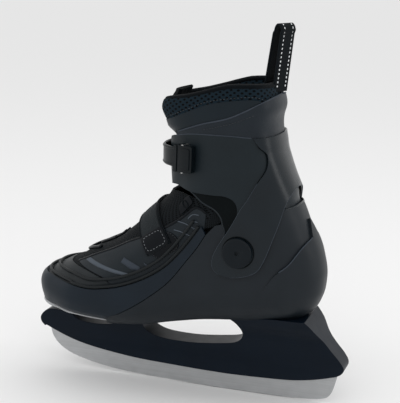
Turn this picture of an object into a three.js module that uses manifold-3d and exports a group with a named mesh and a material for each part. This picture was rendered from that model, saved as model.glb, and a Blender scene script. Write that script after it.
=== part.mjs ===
// Adjustable recreational ice skate for the right foot, millimetres.
// +X points to the toe, +Y to the inner side of the foot, +Z up.
// The origin is the middle of the flat of the blade that rests on the ice.

import * as THREE from 'three';
import { mergeVertices } from 'three/addons/utils/BufferGeometryUtils.js';
import Module from 'manifold-3d';

const wasm = await Module();
wasm.setup();

// ---------------------------------------------------------------------------
// Driving dimensions
// ---------------------------------------------------------------------------

const footLength = 272; // toe to heel of the shell
const ballWidth = 95; // widest part of the shell
const soleHeight = 59; // lowest point of the shell above the ice
const bootHeight = 227; // shell sole to the top of the collar region
const fitGap = 0.3; // between pieces that touch

const bladeThickness = 3.2;
const bladeTang = 12; // hidden height of the blade inside its holder
const holderFoot = 17; // width of the holder where it grips the blade

const shellWall = 2.8;
const toeTailInset = 3.2; // the sliding tail runs this far inside the main shell
const toeTailWall = 2;
const solePlateThickness = 2;
const upperInset = 3.1;
const upperWall = 2.4;
const linerInset = 6.2;
const linerWall = 2.6;
const footbedThickness = 3;
const tongueThickness = 5;
const tongueWidth = 46;
const heelGuardStep = 2.4;

const flapOut = 0.5; // cuff layers, outwards from the shell surface
const flapWall = 1;
const wingWall = 1.6;
const frameWall = 1.8;

const pivotCapRadius = 13;
const pivotCapThickness = 2.4;
const pivotCapHole = 1.6;
const pivotScrewRadius = 2.4;
const pivotBushWall = 1.7;
const pivotNutWall = 1.4;
const pivotNutRadius = 8;
const pivotNutFlange = 2;
const pivotSeatDrop = 0.9; // the shell wall curves away across the nut's flange
const runningGap = 0.3; // on radius, between a pin or bush and its bore
const pivotBushBore = pivotScrewRadius + runningGap + pivotNutWall + runningGap;
const pivotBushRadius = pivotBushBore + pivotBushWall;

const strapWidth = 17; // ladder strap over the shin
const strapThickness = 2;
const instepStrapWidth = 25;
const instepStrapThickness = 1.5;
const throatBase = 162; // height where the throat meets the sliding toe upper
const pipingRadius = 1.3;
const pipingSpacing = 6.4;

const loopWidth = 18; // webbing of the pull loop
const loopThickness = 1.6;
const loopGap = 8.6; // clear space between the legs of the pull loop

const holderScrewRadius = 2;
const holderScrewHead = 4;
const holderScrewCrown = 1.4;
const holderScrewLength = 16;
const sizeButtonRadius = 7;
const sizeButtonTravel = 3;
const slideTravel = 18; // how far the toe section pulls out
const slideRoom = 2.2; // side clearance that lets the widening shell slide past the lining

// ---------------------------------------------------------------------------
// Small helpers
// ---------------------------------------------------------------------------

const vec2 = (x, y) => new THREE.Vector2(x, y);
const vec3 = (x, y, z) => new THREE.Vector3(x, y, z);
const lerp = THREE.MathUtils.lerp;
const smooth = (x, lo, hi) => THREE.MathUtils.smoothstep(x, lo, hi);

/** Smooth single-valued curve through [position, value] stations, level beyond both ends. */
function curve(stations) {
  const n = stations.length;
  const step = (i) => stations[i + 1][0] - stations[i][0];
  const rise = (i) => (stations[i + 1][1] - stations[i][1]) / step(i);
  const slope = stations.map((_, i) => {
    if (i === 0 || i === n - 1) return 0;
    const before = rise(i - 1);
    const after = rise(i);
    return before * after <= 0 ? 0 : (2 * before * after) / (before + after);
  });
  return (x) => {
    if (x <= stations[0][0]) return stations[0][1];
    if (x >= stations[n - 1][0]) return stations[n - 1][1];
    let i = 0;
    while (x > stations[i + 1][0]) i += 1;
    const h = step(i);
    const t = (x - stations[i][0]) / h;
    const a = stations[i][1];
    const b = stations[i + 1][1];
    const keep = (1 + 2 * t) * (1 - t) ** 2 * a + t * t * (3 - 2 * t) * b;
    return keep + h * (t * (1 - t) ** 2 * slope[i] + t * t * (t - 1) * slope[i + 1]);
  };
}

// The shapes are drawn at one size and stretched to the driving dimensions.
const drawnLength = 272;
const drawnBallWidth = 95;
const drawnSole = 59;
const drawnHeight = 227;
const along = (x) => (x * footLength) / drawnLength;
const across = (y) => (y * ballWidth) / drawnBallWidth;
const up = (z) => (z < drawnSole
  ? (z * soleHeight) / drawnSole
  : soleHeight + ((z - drawnSole) * bootHeight) / drawnHeight);
const drawnX = (x) => (x * drawnLength) / footLength;
const drawnZ = (z) => (z < soleHeight
  ? (z * drawnSole) / soleHeight
  : drawnSole + ((z - soleHeight) * drawnHeight) / bootHeight);
const at = (x, z) => vec2(along(x), up(z));
const outline = (points) => points.map(([x, z]) => at(x, z));

/** Points along a smooth line through a few drawn [x, z] points. */
function spline(points, segments = points.length * 3) {
  return new THREE.SplineCurve(outline(points)).getPoints(segments);
}

/** Line moved sideways by a distance, to the left of its direction. */
function sideways(line, distance) {
  return line.map((p, i) => {
    const a = line[Math.max(i - 1, 0)];
    const b = line[Math.min(i + 1, line.length - 1)];
    const d = b.clone().sub(a).normalize();
    return vec2(p.x - d.y * distance, p.y + d.x * distance);
  });
}

/** Closed geometry turned into a solid that can be joined and cut. */
function toSolid(geometry) {
  const plain = geometry.clone();
  plain.deleteAttribute('normal');
  plain.deleteAttribute('uv');
  const merged = mergeVertices(plain, 1e-5);
  return new wasm.Manifold(new wasm.Mesh({
    numProp: 3,
    vertProperties: new Float32Array(merged.attributes.position.array),
    triVerts: new Uint32Array(merged.index.array),
  }));
}

function toGeometry(solid) {
  const mesh = solid.getMesh();
  const geometry = new THREE.BufferGeometry();
  const places = new Float32Array(mesh.vertProperties);
  geometry.setAttribute('position', new THREE.BufferAttribute(places, 3));
  geometry.setIndex(new THREE.BufferAttribute(new Uint32Array(mesh.triVerts), 1));
  geometry.computeVertexNormals();
  return geometry;
}

const cutWidth = 160;

/** Prism over an outline in the X-Z plane, from y = from to y = to. */
function slab(points, from = -cutWidth / 2, to = cutWidth / 2) {
  const shape = new THREE.Shape(points);
  const geometry = new THREE.ExtrudeGeometry(shape, { depth: to - from, bevelEnabled: false });
  geometry.rotateX(Math.PI / 2);
  geometry.translate(0, to, 0);
  return toSolid(geometry);
}

/** Prism over an outline in the Y-Z plane, from x = from to x = to. */
function crossSlab(points, from, to) {
  const shape = new THREE.Shape(points);
  const geometry = new THREE.ExtrudeGeometry(shape, { depth: to - from, bevelEnabled: false });
  geometry.rotateX(Math.PI / 2);
  geometry.rotateZ(Math.PI / 2);
  geometry.translate(from, 0, 0);
  return toSolid(geometry);
}

function box(size, centre) {
  const geometry = new THREE.BoxGeometry(...size);
  geometry.translate(...centre);
  return toSolid(geometry);
}

/** Cylinder along Y between two y values. */
function crossPin(radius, x, z, from, to, sides = 24) {
  const geometry = new THREE.CylinderGeometry(radius, radius, Math.abs(to - from), sides);
  geometry.translate(x, (from + to) / 2, z);
  return toSolid(geometry);
}

/** Cylinder along Z between two heights. */
function upPin(radius, x, y, from, to, sides = 20) {
  const geometry = new THREE.CylinderGeometry(radius, radius, to - from, sides);
  geometry.rotateX(Math.PI / 2);
  geometry.translate(x, y, (from + to) / 2);
  return toSolid(geometry);
}

// ---------------------------------------------------------------------------
// The boot surface: rings from the sole to the collar
// ---------------------------------------------------------------------------

const ankleX = -14; // the rings' widest place at the ankle
const liftFade = 56; // height over which a ring stops following the arched sole

const soleLine = curve([[-78, 78], [-45, 77.5], [-10, 74], [20, 71], [50, 66], [80, 60.5],
  [110, 59], [150, 61], [172, 64.5], [186, 68]]);
const heelLine = curve([[78, -64], [84, -69], [94, -74.5], [104, -77.5], [115, -78.4],
  [136, -74.5], [155, -66.5], [171, -60], [186, -53], [201, -46], [212, -41.6],
  [224, -37.6], [238, -35.6], [251, -34.5], [262, -36], [286, -33]]);
const frontLine = curve([[59, 176], [68, 182], [78, 185.5], [87, 186], [94, 184], [101, 176],
  [108, 162], [115, 148], [122, 137.5], [129, 122.5], [136, 109], [144, 100], [152, 91],
  [161, 83], [172, 71], [182, 61.5], [195, 58], [212, 59], [228, 59.5], [244, 67],
  [256, 72], [268, 68], [286, 62]]);
const shoulderLine = curve([[88, 126], [95, 118], [100, 92], [106, 73], [117, 55],
  [130, 42], [144, 30], [158, 20], [172, 10], [190, 0], [236, -8]]);
const footWidthLine = curve([[-14, 39.5], [20, 39.5], [50, 41.5], [80, 45], [110, 47.5],
  [140, 46.5], [165, 43.5]]);
const legShareLine = curve([[160, 1], [186, 0.965], [201, 0.94], [220, 0.925], [236, 0.94],
  [256, 0.97], [286, 0.95]]);
const heelRoundLine = curve([[0, 0.62], [4, 0.7], [10, 0.81], [20, 0.924], [30, 0.975], [41, 1]]);
const heelSquareness = 2.35;
const toeSquareness = 2.3;

/** Point of the boot surface. turn runs 0 heel, 1 toe, 2 heel again on the outer side. */
function surfacePoint(turn, level) {
  const far = turn > 1;
  const u = far ? 2 - turn : turn;
  const follow = 1 - smooth(level, drawnSole, drawnSole + liftFade);
  const liftAt = (x) => (soleLine(x) - drawnSole) * follow;
  const heelX = heelLine(level + liftAt(-70));
  const frontX = frontLine(level + liftAt(185));
  const shoulderX = Math.max(shoulderLine(level), ankleX + 4);
  const h = level - drawnSole;
  const toeRound = 1 - 0.3 * (1 - THREE.MathUtils.clamp(h / 25, 0, 1)) ** 2.2;
  const widthAt = (x) => footWidthLine(x) * legShareLine(level)
    * lerp(heelRoundLine(h), toeRound, smooth(x, ankleX, 90));
  let x;
  let y;
  if (u < 0.3) {
    const a = ((u / 0.3) * Math.PI) / 2;
    x = ankleX - (ankleX - heelX) * Math.cos(a) ** (2 / heelSquareness);
    y = widthAt(ankleX) * Math.sin(a) ** (2 / heelSquareness);
  } else if (u < 0.6) {
    x = lerp(ankleX, shoulderX, (u - 0.3) / 0.3);
    y = widthAt(x);
  } else {
    const a = (((u - 0.6) / 0.4) * Math.PI) / 2;
    x = shoulderX + (frontX - shoulderX) * Math.sin(a) ** (2 / toeSquareness);
    y = widthAt(x) * Math.max(Math.cos(a), 0) ** (2 / toeSquareness);
  }
  return vec3(along(x), across(far ? -y : y), up(level + liftAt(x)));
}

/** Outward unit normal of the boot surface. */
function surfaceNormal(turn, level) {
  const step = 0.004;
  const wrap = (t) => (t + 2) % 2;
  const du = surfacePoint(wrap(turn + step), level).sub(surfacePoint(wrap(turn - step), level));
  const dv = surfacePoint(turn, level + 0.5).sub(surfacePoint(turn, level - 0.5));
  return dv.cross(du).normalize();
}

/** Place on the boot surface at a drawn x and z, as turn and level. */
function locate(x, z, far = false) {
  const liftHere = soleLine(x) - drawnSole;
  let lo = drawnSole - 5;
  let hi = z + 1;
  for (let i = 0; i < 40; i += 1) {
    const mid = (lo + hi) / 2;
    const height = mid + liftHere * (1 - smooth(mid, drawnSole, drawnSole + liftFade));
    if (height < z) lo = mid;
    else hi = mid;
  }
  const level = (lo + hi) / 2;
  let a = 0;
  let b = 1;
  for (let i = 0; i < 40; i += 1) {
    const mid = (a + b) / 2;
    if (drawnX(surfacePoint(mid, level).x) < x) a = mid;
    else b = mid;
  }
  const turn = (a + b) / 2;
  return { turn: far ? 2 - turn : turn, level };
}

/** Level at which one turn of the boot surface reaches a drawn height. */
function levelAt(turn, z) {
  let lo = drawnSole;
  let hi = z + 1;
  for (let i = 0; i < 40; i += 1) {
    const mid = (lo + hi) / 2;
    if (drawnZ(surfacePoint(turn, mid).z) < z) lo = mid;
    else hi = mid;
  }
  return (lo + hi) / 2;
}

/** Point that stands out from the boot surface by a distance. */
function offSurface(turn, level, out) {
  return surfacePoint(turn, level).addScaledVector(surfaceNormal(turn, level), out);
}

const ringTurns = [];
for (let i = 0; i < 5; i += 1) ringTurns.push((0.3 * i) / 5);
for (let i = 0; i < 3; i += 1) ringTurns.push(0.3 + (0.3 * i) / 3);
for (let i = 0; i < 7; i += 1) ringTurns.push(0.6 + (0.4 * i) / 7);
const nearTurns = [...ringTurns, 1];
const allTurns = [...nearTurns, ...ringTurns.slice(1).reverse().map((t) => 2 - t)];
const ringLevels = [59, 64, 72, 84, 96, 106, 120, 138, 158, 178, 200, 226, 240, 256, 270, 288];

const solidStore = new Map();

/** Closed solid of the boot with its surface moved inwards by inset (a number or a function). */
function bootSolid(inset) {
  if (solidStore.has(inset)) return solidStore.get(inset);
  const insetAt = typeof inset === 'function' ? inset : () => inset;
  const bottom = drawnSole + insetAt(0, drawnSole);
  const levels = [bottom, ...ringLevels.filter((level) => level > bottom + 1)];
  const position = [];
  levels.forEach((level) => allTurns.forEach((turn) => {
    const p = surfacePoint(turn, level);
    const n = surfaceNormal(turn, level);
    if (level === bottom) n.setZ(0).normalize();
    p.addScaledVector(n, -insetAt(drawnX(p.x), drawnZ(p.z)));
    position.push(p.x, p.y, p.z);
  }));
  const columns = allTurns.length;
  const index = [];
  for (let j = 0; j + 1 < levels.length; j += 1) {
    for (let i = 0; i < columns; i += 1) {
      const a = j * columns + i;
      const b = j * columns + ((i + 1) % columns);
      index.push(a, a + columns, b, b, a + columns, b + columns);
    }
  }
  [0, levels.length - 1].forEach((row) => {
    const cap = (i) => row * columns + ((i + columns) % columns);
    for (let i = 0; i < columns / 2 - 1; i += 1) {
      const quad = [cap(i), cap(i + 1), cap(-i - 1), cap(-i)];
      const faces = i === 0 ? [[1, 2, 0]] : [[0, 1, 2], [0, 2, 3]];
      faces.forEach((f) => {
        const [p, q, r] = f.map((k) => quad[k]);
        if (row === 0) index.push(p, q, r);
        else index.push(p, r, q);
      });
    }
    const mid = columns / 2 - 1;
    const last = [cap(mid), cap(mid + 1), cap(-mid)];
    if (row === 0) index.push(...last);
    else index.push(last[0], last[2], last[1]);
  });
  const geometry = new THREE.BufferGeometry();
  geometry.setAttribute('position', new THREE.Float32BufferAttribute(position, 3));
  geometry.setIndex(index);
  const solid = toSolid(geometry);
  solidStore.set(inset, solid);
  return solid;
}

/** Layer of the boot between two insets, trimmed to an outline seen from the side. */
function layer(outer, inner, points, from, to) {
  return bootSolid(outer).subtract(bootSolid(inner)).intersect(slab(points, from, to));
}

// Heights of the cuff layers, outwards from the shell
const wingOut = flapOut + flapWall + fitGap;
const frameOut = wingOut + wingWall + fitGap;
const frameFace = frameOut + frameWall;
const strapOut = frameOut + wingWall + fitGap;
const strapFace = strapOut + strapThickness;

// ---------------------------------------------------------------------------
// Lines drawn on the boot, seen from the side
// ---------------------------------------------------------------------------

const pivot = at(-14, 140);
const far = 400; // beyond the boot

const seamPoints = [[110, 50], [107, 66], [93, 73], [74, 85], [56, 99], [45, 110], [33, 126], [24, 138],
  [16, 151]];
const pipingPoints = [[165, 97.5], [149, 96], [137, 94.3], [122, 93], [106, 95], [89, 99], [70, 107],
  [53, 118], [40, 131], [29, 145], [20, 158]];
const seamLine = spline(seamPoints, 8);
const pipingLine = spline(pipingPoints, 12);
const toeTopZ = 97.5; // height of the shell's edge at the tip of the toe
const toeTop = at(far, toeTopZ);

// ---------------------------------------------------------------------------
// Blade and holder
// ---------------------------------------------------------------------------

const bladeTopPoints = [[181, 41], [150, 28], [101, 20.5], [52, 18], [6, 17], [-32, 18], [-57, 19.5],
  [-77, 23], [-95, 28]];
const bladeRun = [[-95, 28], [-93, 19], [-89, 8], [-81, 3.2], [-58, 0.8], [-20, 0]];
const bladeNose = [[20, 0], [58, 0.9], [99, 2.2], [130, 5.5], [155, 11], [170, 18], [179, 28], [182, 41]];

function bladeOutline(tang) {
  const top = spline(bladeTopPoints, 24).map((p) => vec2(p.x, p.y + tang));
  return [...spline(bladeRun, 12), ...spline(bladeNose, 18), ...top.slice(1, -1)];
}

function makeBlade() {
  return slab(bladeOutline(bladeTang), -bladeThickness / 2, bladeThickness / 2);
}

const windowBig = [[79, 60], [80.5, 55], [76, 48.5], [64, 44.2], [40, 43.2], [15, 45.5], [-4, 49],
  [-11, 56], [-8, 67], [-3, 72.5], [8, 79], [40, 79], [66, 74]];
const windowSmall = [[119.5, 56.5], [128, 54.2], [142, 54], [153, 56], [159, 61], [159, 70], [119, 70]];
const frontPostTop = 58; // clear of the toe section when it slides over the post

function makeHolder() {
  const rear = [[-95, 28], [-100, 31.5], [-102, 37], [-98, 44], [-90, 53], [-82, 63], [-75, 73], [-71, 86]];
  const front = [[160, 90], [160, frontPostTop], [177, frontPostTop], [183, 54], [186.5, 49], [186, 44],
    [182.5, 40]];
  const sides = [...spline(rear, 12), ...outline([[90, 90], [118, 90]]), ...outline(front)];
  const lower = spline(bladeTopPoints.map(([x, z]) => [x, z]), 24).slice(1, -1);
  const flare = [[0.5, 10], [0.5, 27], [0.62, 45], [1.05, 60], [1.5, 72], [1.75, 95]];
  const right = flare.map(([share, z]) => vec2(share * holderFoot, up(z)));
  const left = flare.map(([share, z]) => vec2(-share * holderFoot, up(z))).reverse();
  const flared = crossSlab([...right, ...left], along(-110), along(200));
  let solid = slab([...sides, ...lower]).intersect(flared);
  solid = solid.subtract(slab(spline([...windowBig, windowBig[0]], 40).slice(0, -1)));
  solid = solid.subtract(slab(outline(windowSmall)));
  const slotHalf = bladeThickness / 2 + fitGap;
  const bladeSlot = slab(sideways(bladeOutline(bladeTang + fitGap), -fitGap), -slotHalf, slotHalf);
  const overFront = slab(outline([[104, frontPostTop], [far, frontPostTop], [far, 120], [104, 120]]));
  return solid.subtract(bladeSlot).subtract(bootSolid(guardClear)).subtract(overFront)
    .subtract(screwHoles(holderScrewRadius + fitGap));
}

// ---------------------------------------------------------------------------
// Screws that hold the shell to the blade holder
// ---------------------------------------------------------------------------

const screwPlaces = [[94, 1], [94, -1], [-38, 1], [-38, -1]];
const screwSpread = 9;

function screwAt([x, side], radius, head, extra) {
  const highest = Math.max(soleLine(x - holderScrewHead), soleLine(x + holderScrewHead));
  const floor = up(highest) + shellWall + 2 * fitGap;
  const y = side * screwSpread;
  const shank = upPin(radius, along(x), y, floor - holderScrewLength - extra, floor + 0.2, 10);
  if (!head) return shank;
  return shank.add(upPin(head, along(x), y, floor, floor + holderScrewCrown, 14));
}

function screwHoles(radius) {
  return screwPlaces.map((place) => screwAt(place, radius, 0, fitGap))
    .reduce((a, b) => a.add(b));
}

// ---------------------------------------------------------------------------
// Shells
// ---------------------------------------------------------------------------

const mainTopPoints = [[8, 160], [-18, 168], [-40, 175], [-56, 177.5], [-80, 180]];

const guardInset = (x) => -heelGuardStep * smooth(-x, 32, 54);
const guardClear = (x) => guardInset(x) - fitGap;

function makeMainShell() {
  const region = [...seamLine, ...outline(mainTopPoints), ...outline([[-far, 180], [-far, 20]])];
  const guardEdge = outline([[-30, 70], [-33, 104], [-44, 121], [-55, 131], [-65, 146], [-79, 162],
    [-88, 166]]);
  const guard = layer(guardInset, 1, [...guardEdge, ...outline([[-far, 166], [-far, 40], [-30, 40]])]);
  const wall = layer(0, shellWall, region);
  const pivotHole = crossPin(pivotBushRadius + runningGap, pivot.x, pivot.y, -80, 80);
  return wall.add(guard.subtract(bootSolid(shellWall))).subtract(pivotHole)
    .subtract(screwHoles(holderScrewRadius + fitGap)).subtract(sizeButtonWell());
}

const tailEnd = -5.5;

function makeToeShell() {
  const edge = sideways(seamLine, -fitGap).reverse();
  const front = [...pipingLine, ...edge, at(far, 50), toeTop];
  const shell = layer(0, shellWall, front);
  const tailInner = toeTailInset + toeTailWall;
  const joint = layer(0.1, tailInner,
    [...sideways(seamLine, -fitGap), ...sideways(seamLine, -3).reverse()]);
  const tailFoot = outline([[tailEnd, 86], [60, 86], [88, 74], [104, 66], [110, 60]]);
  const behind = [...sideways(seamLine, -2).slice(0, -1), at(17, 149.5), at(8, 151.5), at(tailEnd, 150)];
  const tail = layer(toeTailInset, tailInner, [...behind, ...tailFoot]);
  const lowCut = slab(outline([[-20, 86], [60, 86], [84, 76], [100, 68], [100, 40], [-20, 40]]));
  return shell.add(joint.intersect(slab(front))).add(tail.subtract(lowCut))
    .subtract(sizeButtonSlot());
}

function makeToeSolePlate() {
  const edge = outline([[144, 57], [far, 57], [far, 69.5], [171, 69.5], [162, 66], [150, 62], [144, 62]]);
  return layer(-solePlateThickness, -fitGap, edge);
}

// ---------------------------------------------------------------------------
// Size lock: a sprung button on the outer side
// ---------------------------------------------------------------------------

const buttonPlace = locate(62, 92, true);
const buttonSeat = surfacePoint(buttonPlace.turn, buttonPlace.level);
const buttonStem = 2.2;
const buttonHead = 1.6;
const buttonRecess = 1.3;

function outerPin(radius, from, to, sides = 24) {
  return crossPin(radius, buttonSeat.x, buttonSeat.z, buttonSeat.y - from, buttonSeat.y - to, sides);
}

function sizeButtonWell() {
  return outerPin(buttonStem + runningGap, -8, 4);
}

function sizeButtonSlot() {
  const r = buttonStem + runningGap;
  const run = slideTravel + 0.5;
  const round = outerPin(r, -8, 4);
  return box([run, 12, 2 * r], [buttonSeat.x - run / 2, buttonSeat.y, buttonSeat.z])
    .add(round).add(round.translate([-run, 0, 0]));
}

function makeSizeButton() {
  const lift = sizeButtonTravel + buttonRecess;
  const head = outerPin(sizeButtonRadius, lift, lift + buttonHead);
  return head.add(outerPin(buttonStem, -1.6, lift + 0.5));
}

function makeSizeSpring() {
  const ring = outerPin(buttonStem + 1.9, -1, buttonRecess - fitGap);
  return ring.subtract(outerPin(buttonStem + 0.7, -8, 12)).subtract(bootSolid(-fitGap));
}

// ---------------------------------------------------------------------------
// Toe upper, pipings, instep strap
// ---------------------------------------------------------------------------

function makeToeUpper() {
  const tuck = sideways(pipingLine, 3);
  const top = outline([[12, throatBase], [far, throatBase], [far, 94.5]]);
  return layer(upperInset, upperInset + upperWall, [...tuck, ...top]);
}

/** Padded throat over the instep. It stays with the heel when the toe section slides. */
function makeThroat() {
  const foot = throatBase + 0.5;
  const region = outline([[5, foot], [8, 177], [30, 182], [48, 185], [70, 181], [110, foot]]);
  const back = (x, z) => heelLinerInset(x, z) - fitGap;
  return layer(upperInset, back, region);
}

/** Cord laid along the upper edge of the toe shell, raised by a height along the surface. */
function makePiping(rise, startX) {
  const sides = 6;
  const inset = 0.5;
  const line = sideways(pipingLine, -rise).map((p) => [drawnX(p.x), drawnZ(p.y)])
    .filter(([x]) => x > startX && x < 140);
  const side = line.slice().reverse().map(([x, z]) => locate(x, z));
  const first = side[side.length - 1];
  const frontZ = toeTopZ + inset + Math.max(rise * 0.8, pipingRadius + 3 * fitGap);
  const sideZ = drawnZ(surfacePoint(first.turn, first.level).z);
  const arc = [];
  for (let i = 1; i <= 6; i += 1) {
    const turn = lerp(first.turn, 1, i / 6);
    arc.push({ turn, level: levelAt(turn, lerp(sideZ, frontZ, Math.sqrt(i / 6))) });
  }
  const near = [...side, ...arc];
  const other = near.slice(0, -1).reverse().map(({ turn, level }) => ({ turn: 2 - turn, level }));
  const laid = [...near, ...other].map(({ turn, level }) => offSurface(turn, level, -inset));
  const round = new THREE.EllipseCurve(0, 0, pipingRadius, pipingRadius).getPoints(sides).slice(0, -1);
  return toSolid(new THREE.ExtrudeGeometry(new THREE.Shape(round), {
    steps: 36, extrudePath: new THREE.CatmullRomCurve3(laid), bevelEnabled: false,
  }));
}

const strapCrown = [79, 167]; // where the instep strap crosses the ridge
const strapLean = THREE.MathUtils.degToRad(33);
const strapReach = 39; // from the ridge down each side

/** Band across the instep, square to the ridge: outline from reach a to reach b below the crown. */
function instepBand(a, b, width) {
  const down = vec2(-Math.sin(strapLean), -Math.cos(strapLean));
  const forward = vec2(Math.cos(strapLean), -Math.sin(strapLean));
  const crown = at(...strapCrown);
  const corner = (reach, side) => crown.clone().addScaledVector(down, reach)
    .addScaledVector(forward, (side * width) / 2);
  return [corner(a, -1), corner(b, -1), corner(b, 1), corner(a, 1)];
}

const strapUnder = upperInset - fitGap;
const strapTop = strapUnder - instepStrapThickness;

function makeInstepStrap() {
  return layer(strapTop, strapUnder, instepBand(-30, strapReach, instepStrapWidth), -80, 80);
}

function makeInstepTip() {
  const under = strapTop - fitGap;
  const patch = instepBand(strapReach - 17, strapReach - 0.5, instepStrapWidth + 1);
  return layer(under - 1.2, under, patch, 0, 80);
}

function makeInstepRing() {
  const under = strapTop - fitGap;
  const plate = instepBand(strapReach - 14, strapReach - 5, instepStrapWidth + 6);
  const slot = instepBand(strapReach - 11.5, strapReach - 7.5, instepStrapWidth - 1);
  return layer(under - 2, under, plate, -80, 0).subtract(slab(slot, -80, 0));
}

function makeEyeletPatch() {
  const centre = at(40, 172);
  const turned = [[-8, -5], [8, -5], [8, 5], [-8, 5]].map(([a, b]) => {
    const c = Math.cos(Math.PI / 4);
    return vec2(centre.x + c * (a - b), centre.y + c * (a + b));
  });
  return layer(strapUnder - 1.2, strapUnder, turned, 0, 80);
}

// ---------------------------------------------------------------------------
// Liner, footbed, tongue
// ---------------------------------------------------------------------------

const linerSplit = 40; // the lining ahead of this moves with the toe section
const boardEnd = 115;
const underFootbed = linerInset + linerWall + fitGap;


/** Inset of the fixed lining's walls, further in where the tail of the toe section slides past. */
const heelLinerInset = (x, z) => linerInset + (z > drawnSole ? slideRoom * smooth(x, -25, -8) : 0);
const heelLinerFace = (x, z) => heelLinerInset(x, z) + linerWall;

/** Line that runs a height above the sole. */
function aboveSole(height, from, to, steps = 8) {
  const points = [];
  for (let i = 0; i <= steps; i += 1) {
    const x = lerp(from, to, i / steps);
    points.push(vec2(along(x), up(soleLine(x)) + height));
  }
  return points;
}

/** Heel counter of the lining. */
function makeLinerHeel() {
  const foot = aboveSole(linerInset + linerWall + fitGap, -80, ankleX);
  const top = outline([[ankleX, 167.5], [-20, 168], [-80, 168]]);
  return layer(heelLinerInset, heelLinerFace, [...foot, ...top]);
}

/** Ankle pad of the lining on one side, between two y values. */
function makeLinerSide(from, to) {
  const foot = aboveSole(linerInset + linerWall + fitGap, ankleX + fitGap, linerSplit);
  const top = outline([[linerSplit, throatBase], [20, 164], [ankleX + fitGap, 167.5]]);
  return layer(heelLinerInset, heelLinerFace, [...foot, ...top], from, to);
}

/** Stiff board that the lining is sewn to, under the footbed. */
function makeLinerBoard() {
  const top = aboveSole(linerInset + linerWall, -80, boardEnd);
  return layer(linerInset, linerInset + linerWall, [...top, at(boardEnd, 40), at(-80, 40)]);
}

function makeLinerToe() {
  const from = linerSplit + 0.5;
  const overBed = aboveSole(underFootbed + footbedThickness + fitGap, from, boardEnd + 0.5);
  const around = outline([[boardEnd + 0.5, 40], [far, 40], [far, throatBase], [from, throatBase]]);
  return layer(linerInset, linerInset + linerWall, [...overBed, ...around]);
}

/** Inset of the footbed, whose edge stands further in than its underside. */
const footbedInset = (x, z) => underFootbed + (z > drawnSole ? slideRoom : 0);

function makeFootbed() {
  const top = aboveSole(underFootbed + footbedThickness, -70, 170, 12).reverse();
  return bootSolid(footbedInset).intersect(slab([at(-80, 40), at(175, 40), ...top]));
}

const throatWidth = 38; // opening at the front of the collar, filled by the tongue
const collarOuter = (x, z) => {
  const below = lerp(3.3, linerInset, smooth(x, -30, 10));
  return lerp(below, 0.9, smooth(z, 226, 240));
};
const collarInner = (x, z) => collarOuter(x, z) + lerp(3, 7, smooth(z, 230, 250));
const rimPoints = [[80, 262], [68, 264], [56, 266], [42, 268], [26, 272], [12, 276], [-2, 279], [-28, 280],
  [-50, 278]];

function makeLinerCollar() {
  const foot = outline([[-70, 181], [-14, 183], [16, 190], [34, 200], [90, 204]]);
  const region = [...foot, ...spline(rimPoints, 16)];
  const throat = box([80, throatWidth, 140], [along(20) + 52, 0, up(230)]);
  return layer(collarOuter, collarInner, region).subtract(throat);
}

function makeRearPanel() {
  const top = [[46, 236.5], [23, 245], [1, 251], [-11, 256], [-24, 263], [-36, 270], [-60, 270]];
  const face = (x, z) => -lerp(wingOut - fitGap, 0.6, smooth(z, 232, 242));
  return layer(face, 0.5, [...outline([[-60, 222], [46, 222]]), ...spline(top, 14)]);
}

function makeTongue() {
  const front = (x, z) => collarInner(x, z) + fitGap;
  const back = (x, z) => front(x, z) + tongueThickness;
  const region = outline([[30, 206], [90, 206], [90, 270], [60, 271], [30, 268]]);
  return layer(front, back, region, -tongueWidth / 2, tongueWidth / 2);
}

// ---------------------------------------------------------------------------
// Pull loop
// ---------------------------------------------------------------------------

const loopX = -30; // middle of the loop
const loopBase = 280.4; // just above the rim of the collar
const loopTop = 329;
const loopLean = -7; // how far the fold hangs back

function makePullLoop() {
  const half = loopGap / 2;
  const leg = (side, offset, z) => {
    const t = (z - loopBase) / (loopTop - loopBase);
    return vec2(along(loopX + loopLean * t) + side * (half * (1 - 0.25 * t) + offset), up(z));
  };
  const fold = up(loopTop) - loopThickness - half * 0.75;
  const foldX = along(loopX + loopLean);
  const arc = (radius, reverse) => {
    const points = [];
    for (let i = 0; i <= 8; i += 1) {
      const a = (Math.PI * i) / 8;
      points.push(vec2(foldX + radius * Math.cos(a), fold + radius * Math.sin(a)));
    }
    return reverse ? points.reverse() : points;
  };
  const outer = [leg(1, loopThickness, loopBase), leg(1, loopThickness, 300),
    ...arc(half * 0.75 + loopThickness, false),
    leg(-1, loopThickness, 300), leg(-1, loopThickness, loopBase)];
  const inner = [leg(-1, 0, loopBase), leg(-1, 0, 300), ...arc(half * 0.75, true),
    leg(1, 0, 300), leg(1, 0, loopBase)];
  return slab([...outer, ...inner], -loopWidth / 2, loopWidth / 2);
}

// ---------------------------------------------------------------------------
// Cuff
// ---------------------------------------------------------------------------

const frameFront = [[-22, 236.5], [-26, 229], [-31, 222], [-32, 210], [-27, 199], [-21, 186],
  [-15, 176], [-7, 161], [1, 148], [5, 141], [8.5, 132], [8, 124], [3, 119]];
const frameRear = [[3, 119], [-7, 117.5], [-19, 119.5], [-30, 125], [-36, 136], [-40, 148], [-45, 166],
  [-47.5, 180], [-51, 191], [-58, 200]];
const wingLower = [[51, 190], [44, 190.5], [36, 188], [29, 186.5], [11, 186], [0, 186], [-8, 183],
  [-11.5, 177], [-11, 169], [-5, 158], [-2, 152]];
const flapEdge = [[52, 193], [44, 191.5], [36, 189], [29, 185.5], [20, 179], [9, 174], [3, 168], [1, 162],
  [-1, 156], [0, 148]];

function pivotBore() {
  return crossPin(pivotBushRadius + runningGap, pivot.x, pivot.y, -80, 80);
}

function makeCuffFrame() {
  const region = [...spline(frameFront, 16), ...spline(frameRear, 13).slice(1),
    ...outline([[-far, 201], [-far, 236.5]])];
  return layer(-frameFace, -frameOut, region).subtract(pivotBore());
}

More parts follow.
